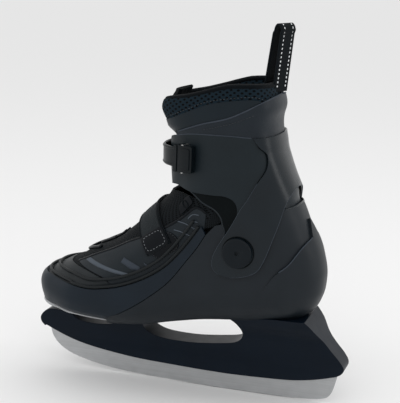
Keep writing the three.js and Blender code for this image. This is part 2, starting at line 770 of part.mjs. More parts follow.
function makeCuffWing() {
  const front = outline([[47, 233], [54, 229], [54, 212], [53, 198], [51, 190]]);
  const around = outline([[-2, 128], [-14, 123], [-28, 128], [-34, 142], [-38, 160], [-42, 186], [-50, 205],
    [-far, 206], [-far, 236]]);
  const top = outline([[-21, 236.5], [0, 237], [31, 236]]);
  const region = [...front, ...spline(wingLower, 14).slice(1), ...around, ...top];
  return layer(-(wingOut + wingWall), -wingOut, region).subtract(pivotBore()).subtract(rivetHoles());
}

function makeCuffFlap(from, to) {
  const rest = outline([[0, 132], [-14, 126], [-23, 134], [-23, 186], [-14, 200], [20, 204], [50, 204]]);
  const region = [...spline(flapEdge, 12), ...rest];
  return layer(-(flapOut + flapWall), -flapOut, region, from, to).subtract(pivotBore());
}

// ---------------------------------------------------------------------------
// Pivots of the cuff
// ---------------------------------------------------------------------------

const ankleHalf = surfacePoint(0.3, 140).y;

/** Solid of revolution about the pivot axis on one side, from [radius, distance from the middle] pairs. */
function pivotTurned(side, profile, sides = 18) {
  const geometry = new THREE.LatheGeometry(profile.map(([r, y]) => vec2(r, y)), sides);
  if (side < 0) geometry.rotateX(Math.PI);
  geometry.translate(pivot.x, 0, pivot.y);
  return toSolid(geometry);
}

function makePivotScrew(side) {
  const under = ankleHalf + frameFace + fitGap;
  const top = under + pivotCapThickness;
  const tip = ankleHalf - shellWall - pivotSeatDrop + fitGap;
  return pivotTurned(side, [[0, tip], [pivotScrewRadius, tip], [pivotScrewRadius, under],
    [pivotCapRadius, under], [pivotCapRadius, top - 0.8], [pivotCapRadius - 0.8, top],
    [pivotCapHole, top], [pivotCapHole, top - 2], [0, top - 2]]);
}

function makePivotNut(side) {
  const face = ankleHalf - shellWall - pivotSeatDrop;
  const bore = pivotScrewRadius + runningGap;
  const barrel = bore + pivotNutWall;
  const end = ankleHalf + frameOut;
  const inner = face - pivotNutFlange;
  return pivotTurned(side, [[0, inner], [pivotNutRadius, inner], [pivotNutRadius, face], [barrel, face],
    [barrel, end], [bore, end], [bore, face - fitGap], [0, face - fitGap]]);
}

function makePivotBushing(side) {
  const from = ankleHalf - shellWall;
  const to = ankleHalf + frameFace;
  return pivotTurned(side, [[pivotBushBore, from], [pivotBushRadius, from], [pivotBushRadius, to],
    [pivotBushBore, to], [pivotBushBore, from]]);
}

// ---------------------------------------------------------------------------
// Shin strap: receiver on the inner side, ladder strap, buckle on the outer side
// ---------------------------------------------------------------------------

const strapZ = 215;
const strapLow = up(strapZ) - strapWidth / 2;
const strapHigh = up(strapZ) + strapWidth / 2;
const receiverLip = 3.4;

function bandOutline(x0, x1, low, high) {
  return [vec2(along(x0), low), vec2(along(x1), low), vec2(along(x1), high), vec2(along(x0), high)];
}

function makeStrapReceiver() {
  const low = strapLow - receiverLip;
  const high = strapHigh + receiverLip;
  const block = layer(-(strapFace + 2.2), -frameOut, bandOutline(26.5, 42, low, high), 0, 80);
  const slot = layer(-(strapFace + fitGap), -(strapOut - fitGap),
    bandOutline(29, 50, strapLow - fitGap, strapHigh + fitGap), 0, 80);
  return block.subtract(slot).subtract(rivetHoles());
}

function makeLadderStrap() {
  const near = layer(-strapFace, -strapOut, bandOutline(30, 90, strapLow, strapHigh), 0, 80);
  const outer = layer(-strapFace, -strapOut, bandOutline(-14, 90, strapLow, strapHigh), -80, 0.01);
  return near.add(outer);
}

// Frame of the buckle: t forward along the cuff, z up, d outwards
const bucklePlace = locate(12, strapZ, true);
const buckleSeat = surfacePoint(bucklePlace.turn, bucklePlace.level);
const buckleOut = surfaceNormal(bucklePlace.turn, bucklePlace.level).setZ(0).normalize();
const buckleForward = vec3(-buckleOut.y, buckleOut.x, 0);
const buckleFrame = new THREE.Matrix4().makeBasis(buckleForward, vec3(0, 0, 1), buckleOut)
  .setPosition(buckleSeat);

function inBuckle(geometry) {
  const placed = geometry.clone();
  placed.applyMatrix4(buckleFrame);
  return toSolid(placed);
}

/** Box in the buckle's frame, between two corners. */
function buckleBox(t0, t1, d0, d1, z0, z1) {
  const geometry = new THREE.BoxGeometry(t1 - t0, z1 - z0, d1 - d0);
  geometry.translate((t0 + t1) / 2, (z0 + z1) / 2, (d0 + d1) / 2);
  return inBuckle(geometry);
}

/** Pin along Z in the buckle's frame. */
function bucklePin(radius, t, d, half, sides = 14) {
  const geometry = new THREE.CylinderGeometry(radius, radius, 2 * half, sides);
  geometry.translate(t, 0, d);
  return inBuckle(geometry);
}

const leverPinAt = [13, strapFace + 4.2];
const pawlPinAt = [-11, strapFace + 1.8];
const pinRadius = 1.2;
const pawlSpringLength = 1;
const pawlSpringWire = 0.7;
const cheekWall = 1.6;
const cheekInner = strapWidth / 2 + 1.6;
const cheekOuter = cheekInner + cheekWall;
const moverHalf = cheekInner - fitGap;

function makeBuckleBase() {
  const half = cheekOuter - 0.2;
  const plateEdge = bandOutline(-12, 33, up(strapZ) - half, up(strapZ) + half);
  const plate = layer(-(strapOut - fitGap), -frameOut, plateEdge, -80, 0);
  const top = leverPinAt[1] + 2.2;
  const upper = buckleBox(-15, 17, 0.5, top, cheekInner, cheekOuter);
  const lower = buckleBox(-15, 17, 0.5, top, -cheekOuter, -cheekInner);
  const cheeks = upper.add(lower).subtract(bootSolid(-(frameOut + fitGap)));
  return plate.add(cheeks).subtract(bucklePin(pinRadius + runningGap, ...leverPinAt, 20))
    .subtract(bucklePin(pinRadius + runningGap, ...pawlPinAt, 20)).subtract(rivetHoles());
}

function makeBuckleLever() {
  const [t, d] = leverPinAt;
  const boss = bucklePin(3, t, d, moverHalf, 24);
  const plate = buckleBox(t - 37, t + 0.5, d + 0.6, d + 2.6, -moverHalf, moverHalf);
  return boss.add(plate).subtract(bucklePin(pinRadius + runningGap, t, d, 20));
}

function makeReleasePawl() {
  const [t, d] = pawlPinAt;
  const boss = bucklePin(2.1, t, d, moverHalf, 14);
  const nose = buckleBox(t, t + 9, d - 0.4, d + 1, -moverHalf + 2, moverHalf - 2);
  const tail = buckleBox(t - 11, t, d - 0.6, d + 1.2, -moverHalf, moverHalf);
  const roomEnd = -moverHalf + pawlSpringLength + fitGap;
  const springRoom = buckleBox(t - 3, t + 3, d - 4, d + 4, -moverHalf - 1, roomEnd);
  return boss.add(nose).add(tail).subtract(springRoom)
    .subtract(bucklePin(pinRadius + runningGap, t, d, 20))
    .subtract(bootSolid(-(strapFace + fitGap)));
}

function makePawlSpring() {
  const [t, d] = pawlPinAt;
  const ring = (radius, reach) => {
    const geometry = new THREE.CylinderGeometry(radius, radius, pawlSpringLength + reach, 14);
    geometry.translate(t, -moverHalf + pawlSpringLength / 2, d);
    return inBuckle(geometry);
  };
  return ring(pinRadius + runningGap + pawlSpringWire, 0).subtract(ring(pinRadius + runningGap, 4));
}

function makeLeverPin() {
  return bucklePin(pinRadius, ...leverPinAt, cheekOuter + 0.6, 20);
}

function makePawlPin() {
  return bucklePin(pinRadius, ...pawlPinAt, cheekOuter + 0.6, 20);
}

const rivetRadius = 1.6;
const rivetPlaces = [[18, strapZ, true], [2, strapZ, true], [35, 204, false], [35, 226, false]];

/** Short rivet square to the cuff surface, from the inside of the wing outwards. */
function rivetAt([x, z, outerSide], radius, from, to) {
  const { turn, level } = locate(x, z, outerSide);
  const seat = surfacePoint(turn, level);
  const normal = surfaceNormal(turn, level);
  const geometry = new THREE.CylinderGeometry(radius, radius, to - from, 12);
  geometry.translate(0, (from + to) / 2, 0);
  geometry.applyQuaternion(new THREE.Quaternion().setFromUnitVectors(vec3(0, 1, 0), normal));
  geometry.translate(seat.x, seat.y, seat.z);
  return toSolid(geometry);
}

function rivetHoles() {
  return rivetPlaces.map((place) => rivetAt(place, rivetRadius + fitGap, flapOut, strapFace + 6))
    .reduce((a, b) => a.add(b));
}

function makeRivet(place) {
  const to = place[2] ? strapOut - 2 * fitGap : strapFace + 1.6;
  return rivetAt(place, rivetRadius, wingOut + 0.1, to);
}

// ---------------------------------------------------------------------------
// Materials and assembly
// ---------------------------------------------------------------------------

const finish = (color, roughness, metalness = 0) => ({ color, roughness, metalness });
const finishes = {
  steel: finish(0xb4b5b6, 0.35, 1),
  holder: finish(0x14191f, 0.4),
  shell: finish(0x2a2f31, 0.45),
  solePlate: finish(0xa9abac, 0.5),
  cuff: finish(0x2c3133, 0.42),
  frame: finish(0x26292b, 0.3),
  flap: finish(0x15181a, 0.5),
  cap: finish(0x272c2e, 0.4),
  upper: finish(0x1d2124, 0.7),
  piping: finish(0x181b1d, 0.55),
  webbing: finish(0x202424, 0.85),
  rubber: finish(0x101416, 0.4),
  mesh: finish(0x12171a, 0.9),
  panel: finish(0x2b3135, 0.5),
  liner: finish(0x1a1c1e, 0.95),
  nylon: finish(0x0f1214, 0.45),
  zinc: finish(0x9a9c9e, 0.35, 1),
};

const skate = new THREE.Group();

function addPart(name, solid, look) {
  const mesh = new THREE.Mesh(toGeometry(solid), new THREE.MeshStandardMaterial(finishes[look]));
  mesh.name = name;
  skate.add(mesh);
}

addPart('blade', makeBlade(), 'steel');
addPart('blade_holder', makeHolder(), 'holder');
screwPlaces.forEach((place, i) => {
  addPart(`holder_screw_${i + 1}`, screwAt(place, holderScrewRadius, holderScrewHead, 0), 'zinc');
});
addPart('main_shell', makeMainShell(), 'shell');
addPart('toe_shell', makeToeShell(), 'shell');
addPart('toe_sole_plate', makeToeSolePlate(), 'solePlate');
addPart('size_button', makeSizeButton(), 'nylon');
addPart('size_button_spring', makeSizeSpring(), 'zinc');
addPart('toe_upper', makeToeUpper(), 'upper');
addPart('piping_lower', makePiping(pipingRadius + 3 * fitGap, 22), 'piping');
addPart('piping_upper', makePiping(pipingRadius + 3 * fitGap + pipingSpacing, 26), 'piping');
addPart('instep_strap', makeInstepStrap(), 'webbing');
addPart('instep_strap_tip', makeInstepTip(), 'rubber');
addPart('instep_strap_ring', makeInstepRing(), 'nylon');
addPart('throat_mesh', makeThroat(), 'mesh');
addPart('eyelet_patch', makeEyeletPatch(), 'rubber');
addPart('footbed', makeFootbed(), 'liner');
addPart('liner_heel', makeLinerHeel(), 'liner');
addPart('liner_side_inner', makeLinerSide(0, 80), 'liner');
addPart('liner_side_outer', makeLinerSide(-80, 0), 'liner');
addPart('liner_board', makeLinerBoard(), 'liner');
addPart('liner_toe', makeLinerToe(), 'liner');
[['inner', 1], ['outer', -1]].forEach(([where, side]) => {
  addPart(`pivot_screw_${where}`, makePivotScrew(side), 'cap');
  addPart(`pivot_nut_${where}`, makePivotNut(side), 'zinc');
  addPart(`pivot_bushing_${where}`, makePivotBushing(side), 'nylon');
});
addPart('cuff_flap_inner', makeCuffFlap(0, 80), 'flap');
addPart('cuff_flap_outer', makeCuffFlap(-80, 0), 'flap');
addPart('cuff_wing', makeCuffWing(), 'cuff');
addPart('cuff_frame', makeCuffFrame(), 'frame');
addPart('liner_collar', makeLinerCollar(), 'mesh');
addPart('rear_panel', makeRearPanel(), 'panel');
addPart('tongue', makeTongue(), 'mesh');
addPart('pull_loop', makePullLoop(), 'webbing');
addPart('strap_receiver', makeStrapReceiver(), 'nylon');
addPart('ladder_strap', makeLadderStrap(), 'nylon');
addPart('buckle_base', makeBuckleBase(), 'nylon');
addPart('buckle_lever', makeBuckleLever(), 'nylon');
addPart('lever_pin', makeLeverPin(), 'zinc');
addPart('release_pawl', makeReleasePawl(), 'nylon');
addPart('pawl_pin', makePawlPin(), 'zinc');
addPart('pawl_spring', makePawlSpring(), 'zinc');
rivetPlaces.forEach((place, i) => addPart(`strap_rivet_${i + 1}`, makeRivet(place), 'zinc'));

export default skate;
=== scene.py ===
"""Looks of an adjustable recreational ice skate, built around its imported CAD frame.

+X points to the toe, +Y to the inner side of the right foot, +Z up from the ice. Shapes are
drawn in millimetres and turned into metres where a mesh is made.
"""

import math

import bmesh
import bpy
import numpy as np
from mathutils import Matrix, Vector
from mathutils.geometry import delaunay_2d_cdt


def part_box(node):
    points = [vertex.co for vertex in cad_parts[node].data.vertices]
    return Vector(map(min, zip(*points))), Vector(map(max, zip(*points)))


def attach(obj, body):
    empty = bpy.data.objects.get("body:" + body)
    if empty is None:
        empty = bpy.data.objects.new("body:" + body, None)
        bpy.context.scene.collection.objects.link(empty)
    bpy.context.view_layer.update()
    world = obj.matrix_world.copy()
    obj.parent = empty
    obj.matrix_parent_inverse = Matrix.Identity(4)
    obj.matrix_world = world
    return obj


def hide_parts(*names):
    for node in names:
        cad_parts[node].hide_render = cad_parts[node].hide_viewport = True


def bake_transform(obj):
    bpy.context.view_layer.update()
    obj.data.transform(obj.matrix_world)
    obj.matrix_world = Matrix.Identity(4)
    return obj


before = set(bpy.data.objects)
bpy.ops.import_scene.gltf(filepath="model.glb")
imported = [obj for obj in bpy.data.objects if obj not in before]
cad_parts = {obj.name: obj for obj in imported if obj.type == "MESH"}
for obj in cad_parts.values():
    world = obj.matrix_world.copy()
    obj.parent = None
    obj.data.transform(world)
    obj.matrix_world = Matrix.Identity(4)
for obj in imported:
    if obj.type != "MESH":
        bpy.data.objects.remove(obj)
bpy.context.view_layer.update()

MM = 0.001

# --- Sizes, in millimetres ---

SHELL_WALL = 2.8
UPPER_INSET = 3.1
GUARD_STEP = 2.4
FLAP_OUT, FLAP_WALL = 0.5, 1.0
WING_OUT, WING_WALL = 1.8, 1.6
FRAME_OUT, FRAME_WALL = 3.7, 1.8
STRAP_OUT, STRAP_WALL = 5.6, 2.0
SCREW_RADIUS = 2.4
PIVOT = (-14.0, 140.0)
BLADE_HALF = 1.6
PIPING_RADIUS, PIPING_RISE, PIPING_SPACING = 1.3, 2.2, 6.4
STRAP_Z, STRAP_WIDTH = 215.0, 17.0
INSTEP_CROWN, INSTEP_LEAN, INSTEP_REACH, INSTEP_WIDTH = (79.0, 167.0), math.radians(33), 39.0, 25.0
LOOP_X, LOOP_BASE, LOOP_TOP, LOOP_LEAN = -30.0, 272.0, 329.0, -7.0
LOOP_WIDTH, LOOP_WALL, LOOP_GAP = 18.0, 1.6, 8.6

# --- Curves and the boot surface ---


def smooth(x, low, high):
    t = np.clip((np.asarray(x, float) - low) / (high - low), 0, 1)
    return t * t * (3 - 2 * t)


def lerp(a, b, t):
    return a + (b - a) * t


def curve(stations):
    """Smooth single-valued curve through (position, value) stations, level beyond both ends."""
    xs, ys = np.array(stations, float).T
    step = np.diff(xs)
    rise = np.diff(ys) / step
    slope = np.zeros(len(xs))
    product = rise[:-1] * rise[1:]
    total = np.where(product > 0, rise[:-1] + rise[1:], 1)
    slope[1:-1] = np.where(product > 0, 2 * product / total, 0)

    def value(x):
        x = np.clip(x, xs[0], xs[-1])
        i = np.clip(np.searchsorted(xs, x, side="right") - 1, 0, len(xs) - 2)
        h = step[i]
        t = (x - xs[i]) / h
        keep = (1 + 2 * t) * (1 - t) ** 2 * ys[i] + t * t * (3 - 2 * t) * ys[i + 1]
        return keep + h * (t * (1 - t) ** 2 * slope[i] + t * t * (t - 1) * slope[i + 1])

    return value


SOLE = 59.0  # lowest level of the boot
SOLE_FOLD = 40.0  # levels below the sole that close it at the middle
LIFT_FADE = 56.0
ANKLE_X = -14.0
HEEL_TURN, SHOULDER_TURN = 0.3, 0.6

sole_line = curve([(-78, 78), (-45, 77.5), (-10, 74), (20, 71), (50, 66), (80, 60.5),
                   (110, 59), (150, 61), (172, 64.5), (186, 68)])
heel_line = curve([(78, -64), (84, -69), (94, -74.5), (104, -77.5), (115, -78.4),
                   (136, -74.5), (155, -66.5), (171, -60), (186, -53), (201, -46),
                   (212, -41.6), (224, -37.6), (238, -35.6), (251, -34.5), (262, -36), (286, -33)])
front_line = curve([(59, 176), (68, 182), (78, 185.5), (87, 186), (94, 184), (101, 176),
                    (108, 162), (115, 148), (122, 137.5), (129, 122.5), (136, 109), (144, 100),
                    (152, 91), (161, 83), (172, 71), (182, 61.5), (195, 58), (212, 59),
                    (228, 59.5), (244, 67), (256, 72), (268, 68), (286, 62)])
shoulder_line = curve([(88, 126), (95, 118), (100, 92), (106, 73), (117, 55), (130, 42),
                       (144, 30), (158, 20), (172, 10), (190, 0), (236, -8)])
foot_width_line = curve([(-14, 39.5), (20, 39.5), (50, 41.5), (80, 45), (110, 47.5),
                         (140, 46.5), (165, 43.5)])
leg_share_line = curve([(160, 1), (186, 0.965), (201, 0.94), (220, 0.925), (236, 0.94),
                        (256, 0.97), (286, 0.95)])
heel_round_line = curve([(0, 0.62), (4, 0.7), (10, 0.81), (20, 0.924), (30, 0.975), (41, 1)])
HEEL_POWER, TOE_POWER = 2 / 2.35, 2 / 2.3


def surface(turn, level):
    """Points of the boot surface. turn runs 0 heel, 1 toe, 2 heel again on the outer side."""
    turn, level = np.broadcast_arrays(np.asarray(turn, float) % 2, np.asarray(level, float))
    side = np.where(turn > 1, -1.0, 1.0)
    u = np.where(turn > 1, 2 - turn, turn)
    under = np.clip((SOLE - level) / SOLE_FOLD, 0, 1)
    ring = np.maximum(level, SOLE)
    follow = 1 - smooth(ring, SOLE, SOLE + LIFT_FADE)
    heel_x = heel_line(ring + (sole_line(-70) - SOLE) * follow)
    front_x = front_line(ring + (sole_line(185) - SOLE) * follow)
    shoulder_x = np.maximum(shoulder_line(ring), ANKLE_X + 4)
    heel_angle = np.clip(u / HEEL_TURN, 0, 1) * math.pi / 2
    toe_angle = np.clip((u - SHOULDER_TURN) / (1 - SHOULDER_TURN), 0, 1) * math.pi / 2
    x_heel = ANKLE_X - (ANKLE_X - heel_x) * np.abs(np.cos(heel_angle)) ** HEEL_POWER
    x_mid = lerp(ANKLE_X, shoulder_x, (u - HEEL_TURN) / (SHOULDER_TURN - HEEL_TURN))
    x_toe = shoulder_x + (front_x - shoulder_x) * np.sin(toe_angle) ** TOE_POWER
    x = np.where(u < HEEL_TURN, x_heel, np.where(u < SHOULDER_TURN, x_mid, x_toe))
    h = ring - SOLE
    toe_round = 1 - 0.3 * (1 - np.clip(h / 25, 0, 1)) ** 2.2
    width_x = np.maximum(x, ANKLE_X)
    width = (foot_width_line(width_x) * leg_share_line(ring)
             * lerp(heel_round_line(h), toe_round, smooth(width_x, ANKLE_X, 90)))
    share = np.where(u < HEEL_TURN, np.abs(np.sin(heel_angle)) ** HEEL_POWER,
                     np.abs(np.cos(toe_angle)) ** TOE_POWER)
    y = side * width * share * (1 - under)
    x = x + (np.clip(x, -46, 140) - x) * under
    z = ring + (sole_line(x) - SOLE) * follow
    return np.stack([x, y, z], -1)


def normal(turn, level, aside=0.004, above=0.5):
    """Outward unit normals of the boot surface, from points a little aside and above."""
    along = surface(np.asarray(turn) + aside, level) - surface(np.asarray(turn) - aside, level)
    upward = surface(turn, np.asarray(level) + above) - surface(turn, np.asarray(level) - above)
    n = np.cross(upward, along)
    return n / np.maximum(np.linalg.norm(n, axis=-1, keepdims=True), 1e-9)


def off(turn, level, rise):
    """Points that stand above the boot surface by rise."""
    return surface(turn, level) + normal(turn, level) * np.asarray(rise)[..., None]


def bisect(low, high, below):
    low, high = np.array(low, float), np.array(high, float)
    for _ in range(40):
        mid = (low + high) / 2
        less = below(mid)
        low = np.where(less, mid, low)
        high = np.where(less, high, mid)
    return (low + high) / 2


def locate(points):
    """(turn, level) on the inner side of the boot of points seen from the side, as x and z."""
    x, z = np.atleast_2d(np.asarray(points, float)).T
    lift = sole_line(x) - SOLE
    level = bisect(np.full(len(z), SOLE - 5), z + 1,
                   lambda m: m + lift * (1 - smooth(m, SOLE, SOLE + LIFT_FADE)) < z)
    turn = bisect(np.zeros(len(x)), np.ones(len(x)), lambda m: surface(m, level)[..., 0] < x)
    return np.stack([turn, level], -1)


def level_at(turn, z):
    """Level at which a turn of the boot reaches a height."""
    return bisect(np.full(np.shape(turn), SOLE), np.asarray(z, float) + 1,
                  lambda m: surface(turn, m)[..., 2] < z)


def spline(points, step=2.5):
    """Points along a smooth line through a few points, about a step apart."""
    p = np.array(points, float)
    padded = np.vstack([p[0], p, p[-1]])
    out = []
    for i in range(len(p) - 1):
        a, b, c, d = padded[i:i + 4]
        n = max(2, int(np.linalg.norm(c - b) / step) + 1)
        for t in np.linspace(0, 1, n, endpoint=False):
            v0, v1 = (c - a) / 2, (d - b) / 2
            out.append((2 * b - 2 * c + v0 + v1) * t ** 3
                       + (-3 * b + 3 * c - 2 * v0 - v1) * t ** 2 + v0 * t + b)
    return np.array(out + [p[-1]])


def straight(points, step=2.5):
    """Points along straight stretches between corners, about a step apart."""
    p = np.array(points, float)
    out = []
    for a, b in zip(p[:-1], p[1:]):
        n = max(1, int(np.linalg.norm(b - a) / step + 0.5))
        out.extend(lerp(a, b, t) for t in np.linspace(0, 1, n, endpoint=False))
    return np.array(out + [p[-1]])


def sideways(line, distance):
    """Line moved to the left of its direction."""
    before = np.vstack([line[:1], line[:-1]])
    after = np.vstack([line[1:], line[-1:]])
    d = after - before
    d /= np.maximum(np.linalg.norm(d, axis=1, keepdims=True), 1e-9)
    return line + np.stack([-d[:, 1], d[:, 0]], -1) * distance


def rounded(corners, radius, steps=5):
    """Closed outline with its corners rounded."""
    p = np.array(corners, float)
    out = []
    for i, corner in enumerate(p):
        a, b = p[i - 1] - corner, p[(i + 1) % len(p)] - corner
        reach = min(radius, np.linalg.norm(a) * 0.45, np.linalg.norm(b) * 0.45)
        start = corner + a / np.linalg.norm(a) * reach
        end = corner + b / np.linalg.norm(b) * reach
        for t in np.linspace(0, 1, steps):
            out.append((1 - t) ** 2 * start + 2 * t * (1 - t) * corner + t * t * end)
    return np.array(out)


def closed(outline_points):
    """Outline that ends at its first point."""
    return np.vstack([outline_points, outline_points[:1]])


def oval(centre, half_long, half_wide, lean=0.0, count=32):
    """Line round an oval seen from the side, which ends at its first point."""
    angles = np.linspace(0, 2 * math.pi, count + 1)
    a, b = half_long * np.cos(angles), half_wide * np.sin(angles)
    c, s = math.cos(lean), math.sin(lean)
    return np.stack([centre[0] + a * c - b * s, centre[1] + a * s + b * c], -1)


def run_of(path):
    """Distance from the start of a path to each of its points."""
    return np.concatenate([[0], np.cumsum(np.linalg.norm(np.diff(path, axis=0), axis=1))])


def at_run(path, run, wanted):
    """Values of a path, or of anything given at its points, at distances along it."""
    return np.stack([np.interp(wanted, run, column) for column in path.T], -1)


def evenly(path, count):
    """The same path with evenly spaced points."""
    run = run_of(path)
    return at_run(path, run, np.linspace(0, run[-1], count))


# --- Meshes ---


def inside(points, loop):
    """Which points lie inside a closed outline."""
    x, y = points[:, 0], points[:, 1]
    found = np.zeros(len(points), bool)
    for (ax, ay), (bx, by) in zip(loop, np.roll(loop, -1, 0)):
        crosses = (ay > y) != (by > y)
        if ay != by:
            found ^= crosses & (x < (bx - ax) * (y - ay) / (by - ay) + ax)
    return found


def away(points, loop, distance):
    """Which points lie further than a distance from a closed outline."""
    far = np.ones(len(points), bool)
    for a, b in zip(loop, np.roll(loop, -1, 0)):
        d = b - a
        t = np.clip(((points - a) @ d) / max(d @ d, 1e-12), 0, 1)
        far &= np.hypot(*(points - a - t[:, None] * d).T) > distance
    return far


def clean(loop, least=0.05):
    """Loop with no two neighbours in one place."""
    keep = np.linalg.norm(loop - np.roll(loop, 1, 0), axis=1) > least
    return loop[keep]


ROW_STEP, EDGE_ROOM = 0.87, 0.55  # shares of the pitch between rows, and kept clear along outlines


def fill(loop, pitch, holes=()):
    """Triangles over a flat outline: their corner points and index triples."""
    loop = clean(loop)
    holes = [clean(h) for h in holes]
    low, high = loop.min(0), loop.max(0)
    rows = np.arange(low[1], high[1], pitch * ROW_STEP)
    grid = np.array([(x + (j % 2) * pitch / 2, y) for j, y in enumerate(rows)
                     for x in np.arange(low[0], high[0], pitch)])
    keep = inside(grid, loop) & away(grid, loop, pitch * EDGE_ROOM)
    for hole in holes:
        keep &= ~inside(grid, hole) & away(grid, hole, pitch * EDGE_ROOM)
    points, edges = [], []
    for ring in [loop, *holes]:
        start = len(points)
        points.extend(ring)
        edges.extend((start + i, start + (i + 1) % len(ring)) for i in range(len(ring)))
    points.extend(grid[keep])
    made = delaunay_2d_cdt([Vector(p) for p in points], edges, [], 1, 1e-6)
    corners = np.array([tuple(v) for v in made[0]])
    triangles = np.array([tuple(f) for f in made[2]])
    middle = corners[triangles].mean(1)
    good = inside(middle, loop)
    for hole in holes:
        good &= ~inside(middle, hole)
    return corners, triangles[good]


def make_object(name, points, faces, uv=None):
    """Object from points in millimetres and faces, all facing out and smooth."""
    mesh = bpy.data.meshes.new(name)
    mesh.from_pydata((np.asarray(points) * MM).tolist(), [], [list(map(int, f)) for f in faces])
    if uv is not None:
        layer = mesh.uv_layers.new(name="cloth")
        corner = np.zeros(len(mesh.loops), np.int32)
        mesh.loops.foreach_get("vertex_index", corner)
        layer.data.foreach_set("uv", (np.asarray(uv) * MM)[corner].astype(np.float32).ravel())
    work = bmesh.new()
    work.from_mesh(mesh)
    bmesh.ops.recalc_face_normals(work, faces=work.faces)
    work.to_mesh(mesh)
    work.free()
    mesh.polygons.foreach_set("use_smooth", np.ones(len(mesh.polygons), bool))
    obj = bpy.data.objects.new(name, mesh)
    bpy.context.scene.collection.objects.link(obj)
    return obj


def round_edges(obj, width, segments=2, angle=40):
    bevel = obj.modifiers.new("edges", "BEVEL")
    bevel.width = width * MM
    bevel.segments = segments
    bevel.limit_method = "ANGLE"
    bevel.angle_limit = math.radians(angle)
    bevel.harden_normals = True
    return obj


def thick(name, outer, inner, triangles, uv):
    """Closed body between two faces that share their triangles."""
    n = len(outer)
    directed = {(a, b) for t in triangles for a, b in zip(t, np.roll(t, -1))}
    rim = [(a, b) for a, b in directed if (b, a) not in directed]
    faces = [tuple(t) for t in triangles]
    faces += [(c + n, b + n, a + n) for a, b, c in triangles]
    faces += [(b, a, a + n, b + n) for a, b in rim]
    return make_object(name, np.vstack([outer, inner]), faces, np.vstack([uv, uv]))


TURN_SPAN = 280.0  # millimetres that a turn of 1 stands for in a flat outline


def skin(name, loop, outer, inner, pitch, edge, holes=()):
    """Layer of the boot within a loop of (turn, level), between two heights above the surface.

    Each height is a number or a function of x and z.
    """
    scale = np.array([TURN_SPAN, 1.0])
    corners, triangles = fill(loop * scale, pitch, [h * scale for h in holes])
    turn, level = (corners / scale).T
    x, _, z = surface(turn, level).T
    high, low = (f(x, z) if callable(f) else float(f) for f in (outer, inner))
    obj = thick(name, off(turn, level, high), off(turn, level, low), triangles, corners)
    return round_edges(obj, edge) if edge else obj


def plate(name, loop, half, pitch, edge, holes=()):
    """Body over an outline seen from the side, as wide each way as half gives for z."""
    corners, triangles = fill(loop, pitch, holes)
    near = np.stack([corners[:, 0], half(corners[:, 1]), corners[:, 1]], -1)
    return round_edges(thick(name, near, near * (1, -1, 1), triangles, corners), edge, 3)


def about_heel(path):
    """Closed loop round the heel from its inner half, which runs from centre line to centre line."""
    return np.vstack([path, path[::-1] * (-1, 1)])


def to_outer(path):
    """The same place on the outer side of the boot."""
    return path * (-1, 1) + (2, 0)


def about_toe(path):
    """Closed loop round the toe from its inner half."""
    return np.vstack([path, to_outer(path[::-1])])


def both_sides(loop):
    """A place on the inner side of the boot and the same place on the outer side."""
    return (("inner", loop), ("outer", to_outer(loop)))


def grid_faces(rows, columns, wrapped=False):
    """Four-sided faces of a grid; wrapped joins its last column to its first."""
    faces = []
    for i in range(0, (rows - 1) * columns, columns):
        for j in range(columns if wrapped else columns - 1):
            k = (j + 1) % columns
            faces.append((i + j, i + k, i + columns + k, i + columns + j))
    return faces


def capped(rows, columns):
    """Faces of a tube with a cap at each end."""
    last = (rows - 1) * columns
    caps = [tuple(range(columns)), tuple(range(last, last + columns))[::-1]]
    return grid_faces(rows, columns, True) + caps


def halved(quads):
    """Each four-sided face as two triangles."""
    return [t for a, b, c, d in quads for t in ((a, b, c), (a, c, d))]


def swept(name, path, side, top, section, measure):
    """Section carried along a path; measure is the cloth's distance round the section."""
    rows = path[:, None] + side[:, None] * section[:, :1] + top[:, None] * section[:, 1:]
    uv = np.stack([np.repeat(run_of(path), len(section)), np.tile(measure, len(path))], -1)
    return make_object(name, rows.reshape(-1, 3), capped(len(path), len(section)), uv)


def ribbon(name, middle, across, out, width, wall, edge):
    """Band with rounded edges along middle; across and out are unit vectors at each point."""
    wide, thin = width / 2, wall / 2
    half = [(-wide, edge - thin), (-wide, thin - edge), (edge - wide, thin)]
    half += [(s, thin) for s in np.linspace(-wide, wide, 9)[1:-1]] + [(wide - edge, thin)]
    section = np.vstack([half, -np.array(half)])
    return swept(name, middle, across, out, section, section[:, 0])


def unit(vectors):
    return vectors / np.linalg.norm(vectors, axis=-1, keepdims=True)


def tube(name, path, up, radius, flat, sides):
    """Round or flattened cord along a path; up is the direction of its flattened height."""
    tangent = unit(np.gradient(path, axis=0))
    side = unit(np.cross(tangent, up))
    angles = np.linspace(0, 2 * math.pi, sides, endpoint=False)
    section = np.stack([np.cos(angles) * radius, np.sin(angles) * radius * flat], -1)
    return swept(name, path, side, np.cross(side, tangent), section, angles * radius)


STITCH_SIDES = 6
STITCH_SHAPE = ((0, 0.35), (0.2, 1), (0.8, 1), (1, 0.35))  # share of its length, share of its radius


def stitches(name, path, up, pitch, share, radius):
    """A row of short raised threads along a path."""
    count = max(2, int(np.linalg.norm(np.diff(path, axis=0), axis=1).sum() / pitch))
    ends, lifts = evenly(path, count + 1), unit(evenly(up, count + 1))
    angles = np.linspace(0, 2 * math.pi, STITCH_SIDES, endpoint=False)
    points, faces, uv = [], [], []
    for a, b, lift in zip(ends[:-1], ends[1:], lifts[:-1]):
        along = (b - a) * share
        side = np.cross(unit(along), lift)
        start = len(points)
        for t, r in STITCH_SHAPE:
            for angle in angles:
                out = side * math.cos(angle) + lift * math.sin(angle)
                points.append(a + along * t + out * radius * r)
                uv.append((t * pitch, angle))
        faces += [tuple(start + i for i in f) for f in capped(len(STITCH_SHAPE), STITCH_SIDES)]
    return make_object(name, points, faces, np.array(uv))


